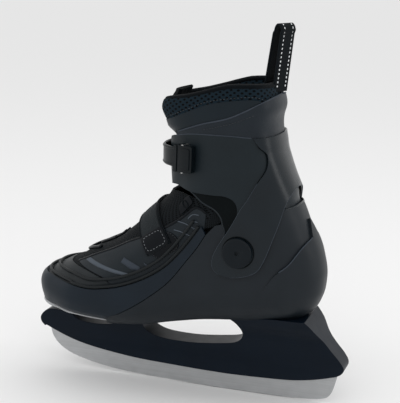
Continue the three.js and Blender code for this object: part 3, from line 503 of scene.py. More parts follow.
def on_boot(line, rise):
    """Path and its normals on the boot, from (turn, level) points."""
    return off(line[:, 0], line[:, 1], rise), normal(line[:, 0], line[:, 1])


def turned(name, profile, side, sides=48):
    """Body of revolution about the pivot axis, from (radius, distance from the middle) pairs."""
    angles = np.linspace(0, 2 * math.pi, sides, endpoint=False)
    points = np.array([(PIVOT[0] + r * math.cos(a), side * y, PIVOT[1] + r * math.sin(a))
                       for r, y in profile for a in angles])
    return make_object(name, points, capped(len(profile), sides), points[:, [0, 2]])


# --- Materials ---


def shader_of(mat):
    return mat.node_tree.nodes["Principled BSDF"]


def material(name, color, roughness, metallic=0.0, specular=0.4, sheen=0.0):
    mat = bpy.data.materials.new(name)
    mat.use_nodes = True
    values = {"Base Color": (*color, 1), "Roughness": roughness, "Metallic": metallic,
              "Specular IOR Level": specular, "Sheen Weight": sheen}
    for socket, value in values.items():
        shader_of(mat).inputs[socket].default_value = value
    return mat


def node(mat, kind, settings=None, **sockets):
    """Shader node whose inputs are set to a value or linked to another node's output."""
    made = mat.node_tree.nodes.new(kind)
    for key, value in (settings or {}).items():
        setattr(made, key, value)
    for key, value in sockets.items():
        socket = made.inputs[key.replace("_", " ")]
        if isinstance(value, bpy.types.NodeSocket):
            mat.node_tree.links.new(value, socket)
        else:
            socket.default_value = value
    return made


def places(mat, cloth=False, scale=(1, 1, 1), turn=0.0):
    """Coordinates in metres, over the object or along the cloth."""
    if cloth:
        source = node(mat, "ShaderNodeUVMap", {"uv_map": "cloth"}).outputs["UV"]
    else:
        source = node(mat, "ShaderNodeTexCoord").outputs["Object"]
    made = node(mat, "ShaderNodeMapping", Vector=source, Scale=scale, Rotation=(0, 0, turn))
    return made.outputs["Vector"]


def noise(mat, where, scale, detail=3.0):
    return node(mat, "ShaderNodeTexNoise", Vector=where, Scale=scale, Detail=detail).outputs["Fac"]


def ramp(mat, value, low, high):
    """Value stretched so that low becomes 0 and high becomes 1."""
    return node(mat, "ShaderNodeMapRange", Value=value, From_Min=low, From_Max=high).outputs["Result"]


def tint(mat, value, dark, light):
    """Base colour that runs from dark to light with a value."""
    mix = node(mat, "ShaderNodeMix", {"data_type": "RGBA"}, A=(*dark, 1), B=(*light, 1), Factor=value)
    mat.node_tree.links.new(mix.outputs["Result"], shader_of(mat).inputs["Base Color"])


def gloss(mat, value, low, high):
    """Roughness that runs from low to high with a value."""
    made = node(mat, "ShaderNodeMapRange", Value=value, To_Min=low, To_Max=high)
    mat.node_tree.links.new(made.outputs["Result"], shader_of(mat).inputs["Roughness"])


def bump(mat, value, distance, strength=0.8):
    """Raises the surface by distance, in millimetres, on top of any earlier bump."""
    target = shader_of(mat).inputs["Normal"]
    earlier = {"Normal": target.links[0].from_socket} if target.is_linked else {}
    made = node(mat, "ShaderNodeBump", Height=value, Distance=distance * MM, Strength=strength, **earlier)
    mat.node_tree.links.new(made.outputs["Normal"], target)


def bands(mat, where, period, direction="X"):
    """Soft ridges with a period in millimetres."""
    made = node(mat, "ShaderNodeTexWave", {"bands_direction": direction}, Vector=where,
                Scale=2 * math.pi / (20 * period * MM))
    return made.outputs["Fac"]


def times(mat, a, b, operation="MULTIPLY"):
    made = node(mat, "ShaderNodeMath", {"operation": operation})
    for source, target in zip((a, b), made.inputs):
        mat.node_tree.links.new(source, target)
    return made.outputs["Value"]


def shade(color, factor):
    return tuple(c * factor for c in color)


def moulded(name, color, roughness, specular=0.4):
    """Moulded plastic: faint flow marks, fine grain and rubbed gloss."""
    mat = material(name, color, roughness, specular=specular)
    where = places(mat)
    marks = noise(mat, where, 38.0)
    tint(mat, marks, shade(color, 0.8), shade(color, 1.25))
    gloss(mat, noise(mat, where, 90.0, 5.0), roughness - 0.08, roughness + 0.1)
    bump(mat, noise(mat, where, 2400.0), 0.02)
    bump(mat, marks, 0.12, 0.5)
    return mat


def woven(name, color, period):
    """Narrow webbing: ribs along its run crossed by a finer pick."""
    mat = material(name, color, 0.8, specular=0.06, sheen=0.03)
    where = places(mat, cloth=True)
    weave = times(mat, bands(mat, where, period, "Y"), bands(mat, where, period * 0.62), "MAXIMUM")
    tint(mat, weave, shade(color, 0.45), shade(color, 1.5))
    bump(mat, weave, 0.22)
    bump(mat, noise(mat, where, 1500.0), 0.05)
    return mat


def spacer_mesh(name, thread, hole, pitch=3.4, depth=0.9):
    """Knitted spacer mesh with diamond openings over dark foam."""
    mat = material(name, thread, 0.85, specular=0.06, sheen=0.02)
    where = places(mat, cloth=True, scale=(0.72, 1.1, 1), turn=math.radians(45))
    cells = times(mat, bands(mat, where, pitch, "X"), bands(mat, where, pitch, "Y"))
    openings = ramp(mat, cells, 0.62, 0.3)
    tint(mat, openings, hole, thread)
    bump(mat, openings, depth)
    bump(mat, noise(mat, where, 1800.0), 0.08)
    return mat


def coated(name, color, roughness, grain=0.1):
    """Coated synthetic leather with a fine pebble grain."""
    mat = material(name, color, roughness, specular=0.18)
    where = places(mat)
    pebbles = node(mat, "ShaderNodeTexVoronoi", Vector=where, Scale=780.0)
    tint(mat, noise(mat, where, 45.0), shade(color, 0.8), shade(color, 1.25))
    gloss(mat, noise(mat, where, 150.0), roughness - 0.06, roughness + 0.1)
    bump(mat, pebbles.outputs["Distance"], grain)
    return mat


def knitted(name, color, period=1.1):
    """Soft lining or thread-covered edge."""
    mat = material(name, color, 0.9, specular=0.05, sheen=0.03)
    where = places(mat, cloth=True)
    knit = times(mat, bands(mat, where, period, "X"), bands(mat, where, period, "Y"))
    fuzz = noise(mat, places(mat), 900.0, 5.0)
    tint(mat, fuzz, shade(color, 0.6), shade(color, 1.4))
    bump(mat, knit, 0.2)
    bump(mat, fuzz, 0.12)
    return mat


def brushed_steel(name, color, roughness):
    """Ground blade steel: fine lines along its length and dull patches."""
    mat = material(name, color, roughness, metallic=1.0)
    lines = noise(mat, places(mat, scale=(6, 900, 900)), 1.0, 2.0)
    patches = noise(mat, places(mat, scale=(1, 1, 1.4)), 130.0, 6.0)
    tint(mat, times(mat, lines, patches), shade(color, 0.75), shade(color, 1.15))
    gloss(mat, patches, roughness - 0.08, roughness + 0.22)
    bump(mat, lines, 0.03)
    bump(mat, patches, 0.05, 0.4)
    return mat


shell_plastic = moulded("shell_plastic", (0.0092, 0.0125, 0.0160), 0.42, 0.16)
toe_plastic = moulded("toe_plastic", (0.0062, 0.0110, 0.0170), 0.42, 0.15)
holder_plastic = moulded("holder_plastic", (0.0026, 0.0060, 0.0115), 0.36, 0.10)
cuff_plastic = moulded("cuff_plastic", (0.0072, 0.0118, 0.0150), 0.38, 0.16)
frame_plastic = moulded("frame_plastic", (0.0055, 0.0092, 0.0125), 0.24, 0.20)
# Also the dark cord round each pivot cap, which is painted shade in the frame's groove.
flap_rubber_and_groove_shade = moulded("flap_rubber_and_groove_shade", (0.0012, 0.0025, 0.0030), 0.5, 0.06)
cap_plastic = moulded("cap_plastic", (0.0038, 0.0062, 0.0085), 0.4, 0.12)
strap_plastic = moulded("strap_plastic", (0.0022, 0.0042, 0.0056), 0.3, 0.14)
# Light grey of the strip under the toe: painted bounce light on the toe shell's under-lip.
bounce_lit_toe_lip_grey = moulded("bounce_lit_toe_lip_grey", (0.36, 0.37, 0.38), 0.5)
piping_rubber = moulded("piping_rubber", (0.0062, 0.0082, 0.0095), 0.45, 0.16)
patch_rubber = moulded("patch_rubber", (0.0014, 0.0026, 0.0042), 0.3, 0.12)
print_grey = moulded("print_grey", (0.060, 0.072, 0.088), 0.5, 0.1)
# Grey of the prints, also used for light grey lips that are painted highlights along edges.
print_and_highlight_grey = moulded("print_and_highlight_grey", (0.034, 0.042, 0.054), 0.55, 0.1)
thread_grey = knitted("thread_grey", (0.16, 0.17, 0.18), 0.6)
thread_dark = knitted("thread_dark", (0.05, 0.055, 0.06), 0.6)
reflective = material("reflective", (0.75, 0.77, 0.78), 0.35)
bump(reflective, noise(reflective, places(reflective), 2500.0), 0.05)
strap_weave = woven("strap_weave", (0.0145, 0.0175, 0.0195), 1.5)
loop_weave = woven("loop_weave", (0.0030, 0.0045, 0.0058), 1.2)
collar_mesh = spacer_mesh("collar_mesh", (0.0066, 0.0140, 0.0205), (0.0006, 0.0008, 0.0012))
throat_mesh_look = spacer_mesh("throat_mesh_look", (0.0072, 0.0090, 0.0105), (0.0006, 0.0008, 0.001),
                               2.6, 0.6)
panel_coated = coated("panel_coated", (0.0082, 0.0125, 0.0175), 0.4)
band_coated = coated("band_coated", (0.0030, 0.0078, 0.0120), 0.36, 0.06)
vamp_coated = coated("vamp_coated", (0.0066, 0.0105, 0.0140), 0.46, 0.08)
cap_coated = coated("cap_coated", (0.0088, 0.0120, 0.0140), 0.44, 0.06)
rim_knit = knitted("rim_knit", (0.0030, 0.0042, 0.0055))
lining_knit = knitted("lining_knit", (0.0060, 0.0072, 0.0080))
blade_steel = brushed_steel("blade_steel", (0.52, 0.53, 0.54), 0.42)
zinc = brushed_steel("zinc", (0.5, 0.5, 0.5), 0.3)


# --- Placing pieces ---


STRETCHED = "stretched"  # stands for a body: fabric between the heel and the sliding toe section


def finish(obj, body, mat, slot, *nodes):
    """Gives a piece its material and its body, or applies a stretched piece's transform, and hides the CAD
    nodes that it stands for.
    """
    obj.data.materials.clear()
    obj.data.materials.append(mat)
    if body == STRETCHED:
        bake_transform(obj)
    else:
        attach(obj, body)
    if nodes:
        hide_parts(*nodes)
    return obj


def refined(name, width, body, mat, slot):
    """A hard CAD piece with its edges rounded."""
    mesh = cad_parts[name].data.copy()
    work = bmesh.new()
    work.from_mesh(mesh)
    bmesh.ops.remove_doubles(work, verts=work.verts, dist=1e-5)
    bmesh.ops.dissolve_limit(work, angle_limit=math.radians(1), verts=work.verts, edges=work.edges)
    work.to_mesh(mesh)
    work.free()
    mesh.polygons.foreach_set("use_smooth", np.ones(len(mesh.polygons), bool))
    obj = bpy.data.objects.new(name + "_finished", mesh)
    bpy.context.scene.collection.objects.link(obj)
    round_edges(obj, width, 2, 30)
    finish(obj, body, mat, slot, name)


def cord_on(name, line, rise, radius, flat, sides=12):
    """Cord along (turn, level) points of the boot."""
    return tube(name, *on_boot(line, rise), radius, flat, sides)


def skins(name, loop, outer, inner, pitch, edge, *how):
    """The same layer on both sides; how is what finish is told."""
    for side, place in both_sides(loop):
        finish(skin(f"{name}_{side}", place, outer, inner, pitch, edge), *how)


def cords(name, line, rise, radius, flat, sides, *how):
    """The same cord on both sides."""
    for side, place in both_sides(line):
        finish(cord_on(f"{name}_{side}", place, rise, radius, flat, sides), *how)


def seams(name, line, rise, pitch, share, radius, *how):
    """The same row of stitches on both sides."""
    for side, place in both_sides(line):
        finish(stitches(f"{name}_{side}", *on_boot(place, rise), pitch, share, radius), *how)


def over_ridge(path):
    """A line on the inner side, ending at the ridge, carried over to the outer side."""
    return np.vstack([path, to_outer(path[:-1])[::-1]])


# --- Lines drawn on the boot ---

SEAM = [(110, 50), (107, 66), (93, 73), (74, 85), (56, 99), (45, 110), (33, 126), (24, 138),
        (16, 151)]
PIPING = [(165, 97.5), (149, 96), (137, 94.3), (122, 93), (106, 95), (89, 99), (70, 107), (53, 118),
          (40, 131), (29, 145), (20, 158)]
FRAME_FRONT = [(-22, 236.5), (-26, 229), (-31, 222), (-32, 210), (-27, 199), (-21, 186), (-15, 176),
               (-7, 161), (1, 148), (5, 141), (8.5, 132), (8, 124), (3, 119)]
FRAME_REAR = [(3, 119), (-7, 117.5), (-19, 119.5), (-30, 125), (-36, 136), (-40, 148), (-45, 166),
              (-47.5, 180), (-51, 191), (-58, 200)]
WING_LOWER = [(51, 190), (44, 190.5), (36, 188), (29, 186.5), (11, 186), (0, 186), (-8, 183),
              (-11.5, 177), (-11, 169), (-5, 158), (-2, 152)]
FLAP_EDGE = [(52, 193), (44, 191.5), (36, 189), (29, 185.5), (20, 179), (9, 174), (3, 168), (1, 162),
             (-1, 156), (0, 148)]
GUARD_EDGE = [(-30, 96), (-33, 104), (-44, 121), (-55, 131), (-65, 146), (-79, 162)]
TOE_TOP = 97.5

seam_line = spline(SEAM)
piping_line = spline(PIPING)


def centre_point(turn, z):
    """The boot's centre line at a height, at the heel or the toe, as one (turn, level) row."""
    return np.array([[turn, level_at(np.array([turn]), z)[0]]])


def heel_point(z):
    return centre_point(0.0, z)


def toe_point(z):
    return centre_point(1.0, z)


def param_line(a, b, count):
    """Evenly spaced (turn, level) points between two."""
    return lerp(np.array(a, float), np.array(b, float), np.linspace(0, 1, count)[:, None])


def round_heel(low, low_count, line, high, high_count):
    """Loop round the heel: out from the centre line at one height, along a line, back at another."""
    start = param_line(heel_point(low)[0], line[0], low_count)[:-1]
    end = param_line(line[-1], heel_point(high)[0], high_count)[1:]
    return about_heel(np.vstack([start, line, end]))


def toe_edge(z, path):
    """Path on the inner side, carried round the toe at one height to the centre line."""
    side = locate(path)
    turns = np.linspace(1, side[0][0], 26)[:-1]
    return np.vstack([np.stack([turns, level_at(turns, z)], -1), side])


# --- Blade and holder ---

BLADE_TOP = [(181, 41), (150, 28), (101, 20.5), (52, 18), (6, 17), (-32, 18), (-57, 19.5), (-77, 23),
             (-95, 28)]
BLADE_RUN = [(-95, 28), (-93, 19), (-89, 8), (-81, 3.2), (-58, 0.8), (-20, 0)]
BLADE_NOSE = [(20, 0), (58, 0.9), (99, 2.2), (130, 5.5), (155, 11), (170, 18), (179, 28), (182, 41)]
BLADE_TANG = 12
WINDOW_BIG = [(83, 61), (84, 55), (79, 48.8), (66, 44.2), (40, 43.2), (15, 45.5), (-4, 49), (-11, 56),
              (-8, 67), (-3, 72.5), (8, 79), (40, 79), (66, 72)]
HOLDER_NOTCH = [(106, 61.5), (108, 56), (114, 51.2), (126, 49.2), (139, 49.4), (149, 51.5),
                (155, 56.4), (161, 57.8)]
HOLDER_REAR = [(-95, 28), (-100, 31.5), (-102, 37), (-98, 44), (-90, 53), (-82, 63), (-75, 73),
               (-69, 79.5)]
HOLDER_FRONT = [(168, 57.8), (177, 57.8), (183, 54), (186.5, 49), (186, 44), (182.5, 40)]
holder_half = curve([(10, 8.5), (27, 8.5), (41, 11.6), (58, 13), (72, 22.0), (95, 29.8)])


def make_blade():
    top = spline(BLADE_TOP) + (0, BLADE_TANG)
    loop = np.vstack([spline(BLADE_RUN), spline(BLADE_NOSE), top])
    blade = plate("blade_ground", loop, lambda z: np.full(len(z), BLADE_HALF), 6, 0.3)
    finish(blade, "chassis", blade_steel, "steel", "blade")


def make_holder():
    top_x = np.linspace(-66, 105, 60)
    top = np.stack([top_x, sole_line(top_x) + 1.2 + 2.5 * smooth(top_x, 92, 105)], -1)
    loop = np.vstack([spline(HOLDER_REAR), top, spline(HOLDER_NOTCH), spline(HOLDER_FRONT),
                      spline(BLADE_TOP)])
    window = spline([*WINDOW_BIG, WINDOW_BIG[0]])[:-1]
    body = plate("holder_moulding", loop, holder_half, 4, 1.1, [window])
    finish(body, "chassis", holder_plastic, "holder", "blade_holder")


make_blade()
make_holder()


# --- Shells ---

SEAM_GAP = 0.3
SOLE_MIDDLE = SOLE - SOLE_FOLD  # level of the line where the two halves of the sole meet


def sole_close(turn_from, turn_to, count):
    """Line along the middle of the sole."""
    return param_line((turn_from, SOLE_MIDDLE), (turn_to, SOLE_MIDDLE), count)


def make_main_shell():
    seam = locate(seam_line)
    top = locate(straight([(16, 151), (8, 160), (-18, 168), (-40, 175), (-56, 177.5)]))
    foot = seam[0][0]
    path = np.vstack([
        sole_close(0, foot, 40), param_line((foot, SOLE_MIDDLE + 3), (foot, seam[0][1]), 12),
        seam, top, param_line(top[-1], heel_point(178)[0], 9)[1:],
    ])
    shell = skin("main_shell_moulding", about_heel(path), 0.0, -SHELL_WALL, 3.6, 0.6)
    finish(shell, "chassis", shell_plastic, "shell", "main_shell")


def make_heel_guard():
    """Raised outer wall round the heel, which fades into the shell in front."""
    edge = locate(spline(GUARD_EDGE))
    edge = edge[edge[:, 0] > 0.02]
    foot = edge[0][0]
    path = np.vstack([
        param_line((0, SOLE + 1), (foot, SOLE + 1), 30), param_line((foot, SOLE + 3), edge[0], 12)[:-1],
        edge, param_line(edge[-1], heel_point(164.5)[0], 8)[1:],
    ])

    def rise(x, z):
        step = GUARD_STEP * smooth(-x, 31, 54)
        return step * smooth(z - sole_line(x), -2, 12) - 0.12 + 0.12 * smooth(-x, 31, 40)

    guard = skin("heel_guard", about_heel(path), rise, -0.6, 3.2, 0.7)
    finish(guard, "chassis", shell_plastic, "shell")
    line = edge[surface(edge[:, 0], edge[:, 1])[:, 0] < -46]
    # Light grey lip along the guard's top edge: a painted highlight.
    cords("heel_guard_lip_highlight", line, GUARD_STEP - 0.4, 0.55, 0.8, 10, "chassis", print_and_highlight_grey, "shell")


def toe_lift(x, z):
    """How far the underside of the toe is drawn up over the front of the holder."""
    return 3.2 * smooth(x, 92, 112) * (1 - smooth(x, 160, 178)) * (1 - smooth(z - sole_line(x), 1, 10))


def make_toe_shell():
    seam = locate(sideways(seam_line, -2 * SEAM_GAP))
    foot = seam[0][0]
    path = np.vstack([
        toe_edge(TOE_TOP, piping_line), seam[::-1],
        param_line(seam[0], (foot, SOLE_MIDDLE), 14)[1:], sole_close(foot, 1, 30)[1:],
    ])

    def rise(x, z):
        return 0.7 * smooth(x, 60, 110) * (1 - smooth(z, 71.5, 73.5)) - toe_lift(x, z)

    def under(x, z):
        return -SHELL_WALL - toe_lift(x, z)

    shell = skin("toe_shell_moulding", about_toe(path), rise, under, 2.8, 0.6)
    finish(shell, "toe", toe_plastic, "shell", "toe_shell")
    tail = straight([(17, 149.5), (8, 151.5), (-5.5, 150), (-5.5, 86), (60, 86), (88, 76), (100, 70)], 4)
    loop = np.vstack([locate(tail), locate(sideways(seam_line, 1.0))[2:-1]])
    skins("toe_tail", loop, -3.2, -5.2, 5, 0.4, "toe", toe_plastic, "shell")


def make_toe_lip_bounce_light():
    """Light grey strip along the lower edge of the toe: painted light for the toe shell's under-lip, lit
    by light bounced off the floor.
    """
    top = toe_edge(69.5, [(171, 69.5), (162, 66), (152, 63.4), (144, 62.6), (125, 61.8), (106, 61)])
    turn, level = locate([(106, 59.6)])[0]
    tucked = SOLE - 12

    def rise(x, z):
        return 1.1 + 0.9 * smooth(x, 138, 152) - toe_lift(x, z)

    def under(x, z):
        return 0.4 - toe_lift(x, z)

    path = np.vstack([top, param_line((turn, level), (turn, tucked), 5)[1:],
                      param_line((turn, tucked), (1, tucked), 16)[1:]])
    strip = skin("toe_lip_painted_light", about_toe(path), rise, under, 2.6, 0.3)
    # The strip is painted bounce light on the toe shell's under-lip, though its slot and CAD node speak of
    # a sole plate.
    finish(strip, "toe", bounce_lit_toe_lip_grey, "sole_plate", "toe_sole_plate")


make_main_shell()
make_heel_guard()
make_toe_shell()
make_toe_lip_bounce_light()

# --- Toe upper and throat ---

PANEL_WALL = 0.55
PANEL_RISE = PANEL_WALL - UPPER_INSET
THROAT_TOP = [(14, 157), (6, 161), (2, 168), (8, 177), (30, 182), (48, 185), (62, 183)]
CAP_SEAM = [(100, 98), (106, 102.5), (114, 105), (128, 108.2), (142, 110), (152, 110.5)]
QUARTER_TOP = [(143, 113), (133, 117.5), (121, 123.5), (106, 130), (92, 137), (78, 143), (56, 153),
               (40, 163), (27, 173.5), (17, 170)]
QUARTER_FRONT = [(101, 99.5), (107, 104), (115, 106.5), (129, 109.7), (143, 113)]


def outline(corners, radius, step=2.0):
    """Closed (turn, level) outline of rounded corners seen from the side."""
    return locate(straight(closed(rounded(corners, radius)), step)[:-1])


def make_upper():
    tuck = toe_edge(TOE_TOP - 3, sideways(piping_line, 3))
    top = locate(spline(THROAT_TOP))
    path = np.vstack([tuck, top, param_line(top[-1], toe_point(183)[0], 6)[1:]])
    upper = skin("toe_upper_sewn", about_toe(path), -UPPER_INSET, -UPPER_INSET - 2.2, 2.8, 0.5)
    finish(upper, STRETCHED, throat_mesh_look, "upper", "toe_upper", "throat_mesh")


def make_toe_cap_panel():
    tuck = toe_edge(TOE_TOP - 2.5, sideways(piping_line, 2.5))
    seam = locate(spline(CAP_SEAM))
    keep = tuck[tuck[:, 0] > seam[0][0] + 0.004]
    path = np.vstack([keep, seam, param_line(seam[-1], toe_point(111.5)[0], 5)[1:]])
    cap = skin("toe_cap_panel", about_toe(path), lambda x, z: PANEL_RISE + 0.5 * smooth(z, 98, 106),
               -UPPER_INSET - 0.3, 2.6, 0.5)
    finish(cap, STRETCHED, cap_coated, "upper")


def make_quarter_panels():
    low = sideways(piping_line, 2.5)
    low = low[(low[:, 0] < 99) & (low[:, 1] > 90)]
    top = locate(spline(QUARTER_TOP))
    loop = np.vstack([locate(low)[::-1], locate(spline(QUARTER_FRONT)), top[1:]])
    skins("quarter", loop, PANEL_RISE, -UPPER_INSET - 0.3, 2.8, 0.5, STRETCHED, vamp_coated, "upper")
    cords("quarter_binding", top, PANEL_RISE, 1.1, 0.6, 12, STRETCHED, patch_rubber, "piping")


PRINT_SHAPES = {
    "stripe": ([(134, 115.6), (129, 118.2), (84, 110.4), (89.5, 108.2)], print_grey),
    "block": ([(93.5, 119.8), (91, 124.6), (75, 117.4), (73.2, 113.6), (82.5, 114.4)], print_and_highlight_grey),
    "small_block": ([(71.8, 121.8), (64.7, 118.2), (68.4, 117)], print_and_highlight_grey),
}
PRINT_LINES = {
    "upper_line": [(43.7, 161), (34, 158.6), (24.5, 154)],
    "lower_line": [(45.5, 152.8), (38, 151.4), (29.2, 148.2)],
    "corner_line": [(33, 163.5), (29, 167.5), (23, 167.5)],
    "dash": [(28, 162), (24, 161)],
}


def make_prints():
    """Plain diagonal stripe, two blocks and thin outlines, on both sides."""
    top = PANEL_RISE + 0.4
    for name, (corners, mat) in PRINT_SHAPES.items():
        skins("print_" + name, outline(corners, 0.5), top, top - 0.8, 1.6, 0, STRETCHED, mat, "upper")
    for name, points in PRINT_LINES.items():
        cords("print_" + name, locate(spline(points)), top - 0.1, 0.5, 0.5, 8, STRETCHED, print_grey,
              "upper")


def make_ribs():
    """Raised cords across the ridge of the vamp."""
    for i, (low, high) in enumerate((((104, 140), 133.5), ((113, 133.5), 126), ((122, 127), 119))):
        line = over_ridge(param_line(locate([low])[0], toe_point(high)[0], 12))
        rib = cord_on(f"throat_rib_{i + 1}", line, 1.0 - UPPER_INSET, 1.9, 0.7)
        finish(rib, STRETCHED, patch_rubber, "upper")


def make_pipings():
    for i, name in enumerate(("piping_lower", "piping_upper")):
        distance = PIPING_RISE + i * PIPING_SPACING
        line = sideways(piping_line, -distance)
        side = locate(line[(line[:, 0] > 22 + 4 * i) & (line[:, 0] < 140)])[::-1]
        turn, level = side[-1]
        share = np.linspace(0, 1, 24)[1:]
        turns = lerp(turn, 1, share)
        front_z = TOE_TOP + 0.5 + max(distance * 0.8, PIPING_RADIUS + 0.9)
        levels = level_at(turns, lerp(surface(turn, level)[2], front_z, np.sqrt(share)))
        path = over_ridge(np.vstack([side, np.stack([turns, levels], -1)]))
        finish(cord_on(name + "_cord", path, -0.6, PIPING_RADIUS, 1.0, 14), "toe", piping_rubber, "piping",
               name)


make_upper()
make_toe_cap_panel()
make_quarter_panels()
make_prints()
make_ribs()
make_pipings()

# --- Instep strap and eyelet ---

STRAP_UNDER = 0.65 - UPPER_INSET
INSTEP_WALL = 1.5
INSTEP_TOP = STRAP_UNDER + INSTEP_WALL
INSTEP_DOWN = np.array([-math.sin(INSTEP_LEAN), -math.cos(INSTEP_LEAN)])
INSTEP_FORWARD = np.array([math.cos(INSTEP_LEAN), -math.sin(INSTEP_LEAN)])
INSTEP_ANCHOR = [(69, 143), (50, 151.5), (41, 146), (40, 137), (56, 125.5), (66, 129)]


def instep_place(reach, across):
    """(turn, level) on the inner side of a point of the instep strap."""
    return locate([np.array(INSTEP_CROWN) + INSTEP_DOWN * reach + INSTEP_FORWARD * across])[0]


def ridge_place(across):
    """Where a line of the strap crosses the ridge."""
    reaches = np.linspace(-20, 14, 69)[:, None]
    line = np.array(INSTEP_CROWN) + reaches * INSTEP_DOWN + INSTEP_FORWARD * across
    ahead = surface(1.0, level_at(np.ones(len(line)), line[:, 1]))[:, 0]
    return toe_point(line[np.argmin(np.abs(ahead - line[:, 0])), 1])[0]


def instep_row(across, count=60):
    """Line of the strap from its inner end over the ridge to its outer end."""
    ridge_at = ridge_place(across)
    side = np.array([instep_place(reach, across) for reach in np.linspace(INSTEP_REACH, 4, 22)])
    side = side[side[:, 0] < ridge_at[0] - 0.02]
    near = np.vstack([side, param_line(side[-1], ridge_at, 8)[1:]])
    return evenly(over_ridge(near), count)


def make_instep_strap():
    half = INSTEP_WIDTH / 2
    middles = np.linspace(-half, half, 9)
    grid = np.array([instep_row(across) for across in middles])
    rows, count, _ = grid.shape
    crown = 0.35 * (1 - (middles / half) ** 4)
    top = off(grid[..., 0], grid[..., 1], (INSTEP_TOP - 0.35 + crown)[:, None] * np.ones(count))
    under = off(grid[..., 0], grid[..., 1], STRAP_UNDER)
    uv = np.stack([np.tile(np.linspace(0, 150, count), rows), np.repeat(middles, count)], -1)
    strap = thick("instep_webbing", top.reshape(-1, 3), under.reshape(-1, 3),
                  halved(grid_faces(rows, count)), uv)
    finish(round_edges(strap, 0.4), "toe", strap_weave, "webbing", "instep_strap")
    for i, across in enumerate((1.2 - half, half - 1.2)):
        edge = cord_on(f"instep_edge_{i + 1}", instep_row(across, 90), INSTEP_TOP, 1.5 - 0.5 * i, 0.4, 10)
        finish(edge, "toe", loop_weave, "webbing")


def instep_patch(a, b, width, radius):
    """Rounded outline on the strap's inner end, from reach a to reach b."""
    corners = [(a, -width / 2), (b, -width / 2), (b, width / 2), (a, width / 2)]
    line = straight(closed(rounded(corners, radius)), 2.0)[:-1]
    return np.array([instep_place(reach, across) for reach, across in line])


def make_instep_tip():
    """Patch on the strap's end and anchor under it, each with its own row of stitches."""
    far_end = INSTEP_REACH - 0.5
    place = instep_patch(INSTEP_REACH - 17, far_end, INSTEP_WIDTH - 1, 4)
    tip = skin("instep_tip_patch", place, INSTEP_TOP + 1.1, INSTEP_TOP + 0.1, 2.5, 0.4)
    finish(tip, "toe", patch_rubber, "webbing", "instep_strap_tip")
    ring = closed(instep_patch(INSTEP_REACH - 15, far_end - 2.2, INSTEP_WIDTH - 5.5, 3))
    row = stitches("instep_tip_stitches", *on_boot(ring, INSTEP_TOP + 1.15), 3.1, 0.6, 0.3)
    finish(row, "toe", thread_grey, "webbing")
    line = straight(closed(rounded(INSTEP_ANCHOR, 4)), 2.0)
    anchor = skin("instep_anchor", locate(line[:-1]), STRAP_UNDER + 0.7, STRAP_UNDER - 0.3, 2.5, 0.3)
    finish(anchor, "toe", patch_rubber, "webbing")
    ring = locate(lerp(line.mean(0), line, 0.94))
    row = stitches("instep_anchor_stitches", *on_boot(ring, STRAP_UNDER + 0.75), 2.6, 0.6, 0.24)
    finish(row, "toe", thread_dark, "webbing")


def make_eyelet():
    place = outline([(43, 174), (35, 184), (29, 178), (40, 166)], 2.5)
    patch = skin("eyelet_tab", place, STRAP_UNDER + 1.2, STRAP_UNDER, 2.2, 0.4)
    finish(patch, "chassis", patch_rubber, "rubber", "eyelet_patch")
    ring = locate(oval((36.3, 175.6), 3.6, 2.0, math.radians(50)))
    eyelet = cord_on("eyelet_ring", ring, STRAP_UNDER + 1.3, 0.7, 0.8, 10)
    finish(eyelet, "chassis", loop_weave, "rubber")


make_instep_strap()
make_instep_tip()
make_eyelet()

# --- Lining, tongue and collar ---

LINER_INSET, LINER_WALL = 6.2, 2.6
FOOTBED_UNDER, FOOTBED_WALL = 9.1, 3.0
SLIDE_ROOM = 2.2
rim_height = curve([(-50, 278), (-28, 280), (-2, 279), (12, 276), (26, 272), (42, 268), (56, 266),
                    (68, 264)])
THROAT_TURN = 0.86


def collar_outer(x, z):
    below = lerp(3.3, LINER_INSET, smooth(x, -30, 10))
    return lerp(below, 0.9, smooth(z, 226, 240))


def make_linings():
    def inset(x, z):
        return -LINER_INSET - SLIDE_ROOM * smooth(x, -25, -8)

    top = locate(straight([(40, 161), (20, 163), (-14, 167), (-40, 167.5), (-58, 167.5)]))
    side = locate(straight([(40, 84), (40, 161)]))
    low = locate(straight([(40, 84), (0, 87), (-50, 90)]))[::-1]
    path = np.vstack([param_line((0, low[0][1]), low[0], 8)[:-1], low, side[1:], top[1:],
                      param_line(top[-1], heel_point(167.5)[0], 8)[1:]])
    heel = skin("lining_heel", about_heel(path), inset, lambda x, z: inset(x, z) - LINER_WALL, 4.5, 0.5)
    finish(heel, "chassis", lining_knit, "liner", "liner_heel", "liner_side_inner", "liner_side_outer")
    back = locate(straight([(42, 82), (42, 160)]))
    foot = locate(straight([(42, 82), (80, 76), (115, 74), (150, 75)]))
    path = np.vstack([param_line((1, foot[-1][1]), foot[-1], 12)[:-1], foot[::-1], back[1:],
                      param_line(back[-1], toe_point(160)[0], 14)[1:]])
    toe = skin("lining_toe", about_toe(path), -LINER_INSET, -LINER_INSET - 2.0, 4.5, 0.5)
    finish(toe, "toe", lining_knit, "liner", "liner_toe")


def board(name, inset, height, wall, last_x):
    """Slab that lies along the inside of the sole, its outline taken from the boot's own plan."""
    rim = off(np.linspace(0.02, 0.999, 60), SOLE + 6.0, -inset)
    rim = rim[rim[:, 0] < last_x]
    if rim[-1, 1] > 2:
        rim = np.vstack([rim, [rim[-1, 0], 0.5, rim[-1, 2]]])
    loop = np.vstack([rim[:, :2], (rim[:, :2] * (1, -1))[::-1]])
    corners, triangles = fill(loop, 5)
    under = np.column_stack([corners, sole_line(corners[:, 0]) + height])
    return round_edges(thick(name, under + (0, 0, wall), under, triangles, corners), 0.6)


def make_boards():
    low = board("lining_board", LINER_INSET + 1, LINER_INSET, LINER_WALL, 115)
    finish(low, "chassis", lining_knit, "liner", "liner_board")
    bed = board("footbed_insole", FOOTBED_UNDER + SLIDE_ROOM + 1, FOOTBED_UNDER, FOOTBED_WALL, 160)
    finish(bed, "chassis", lining_knit, "liner", "footbed")


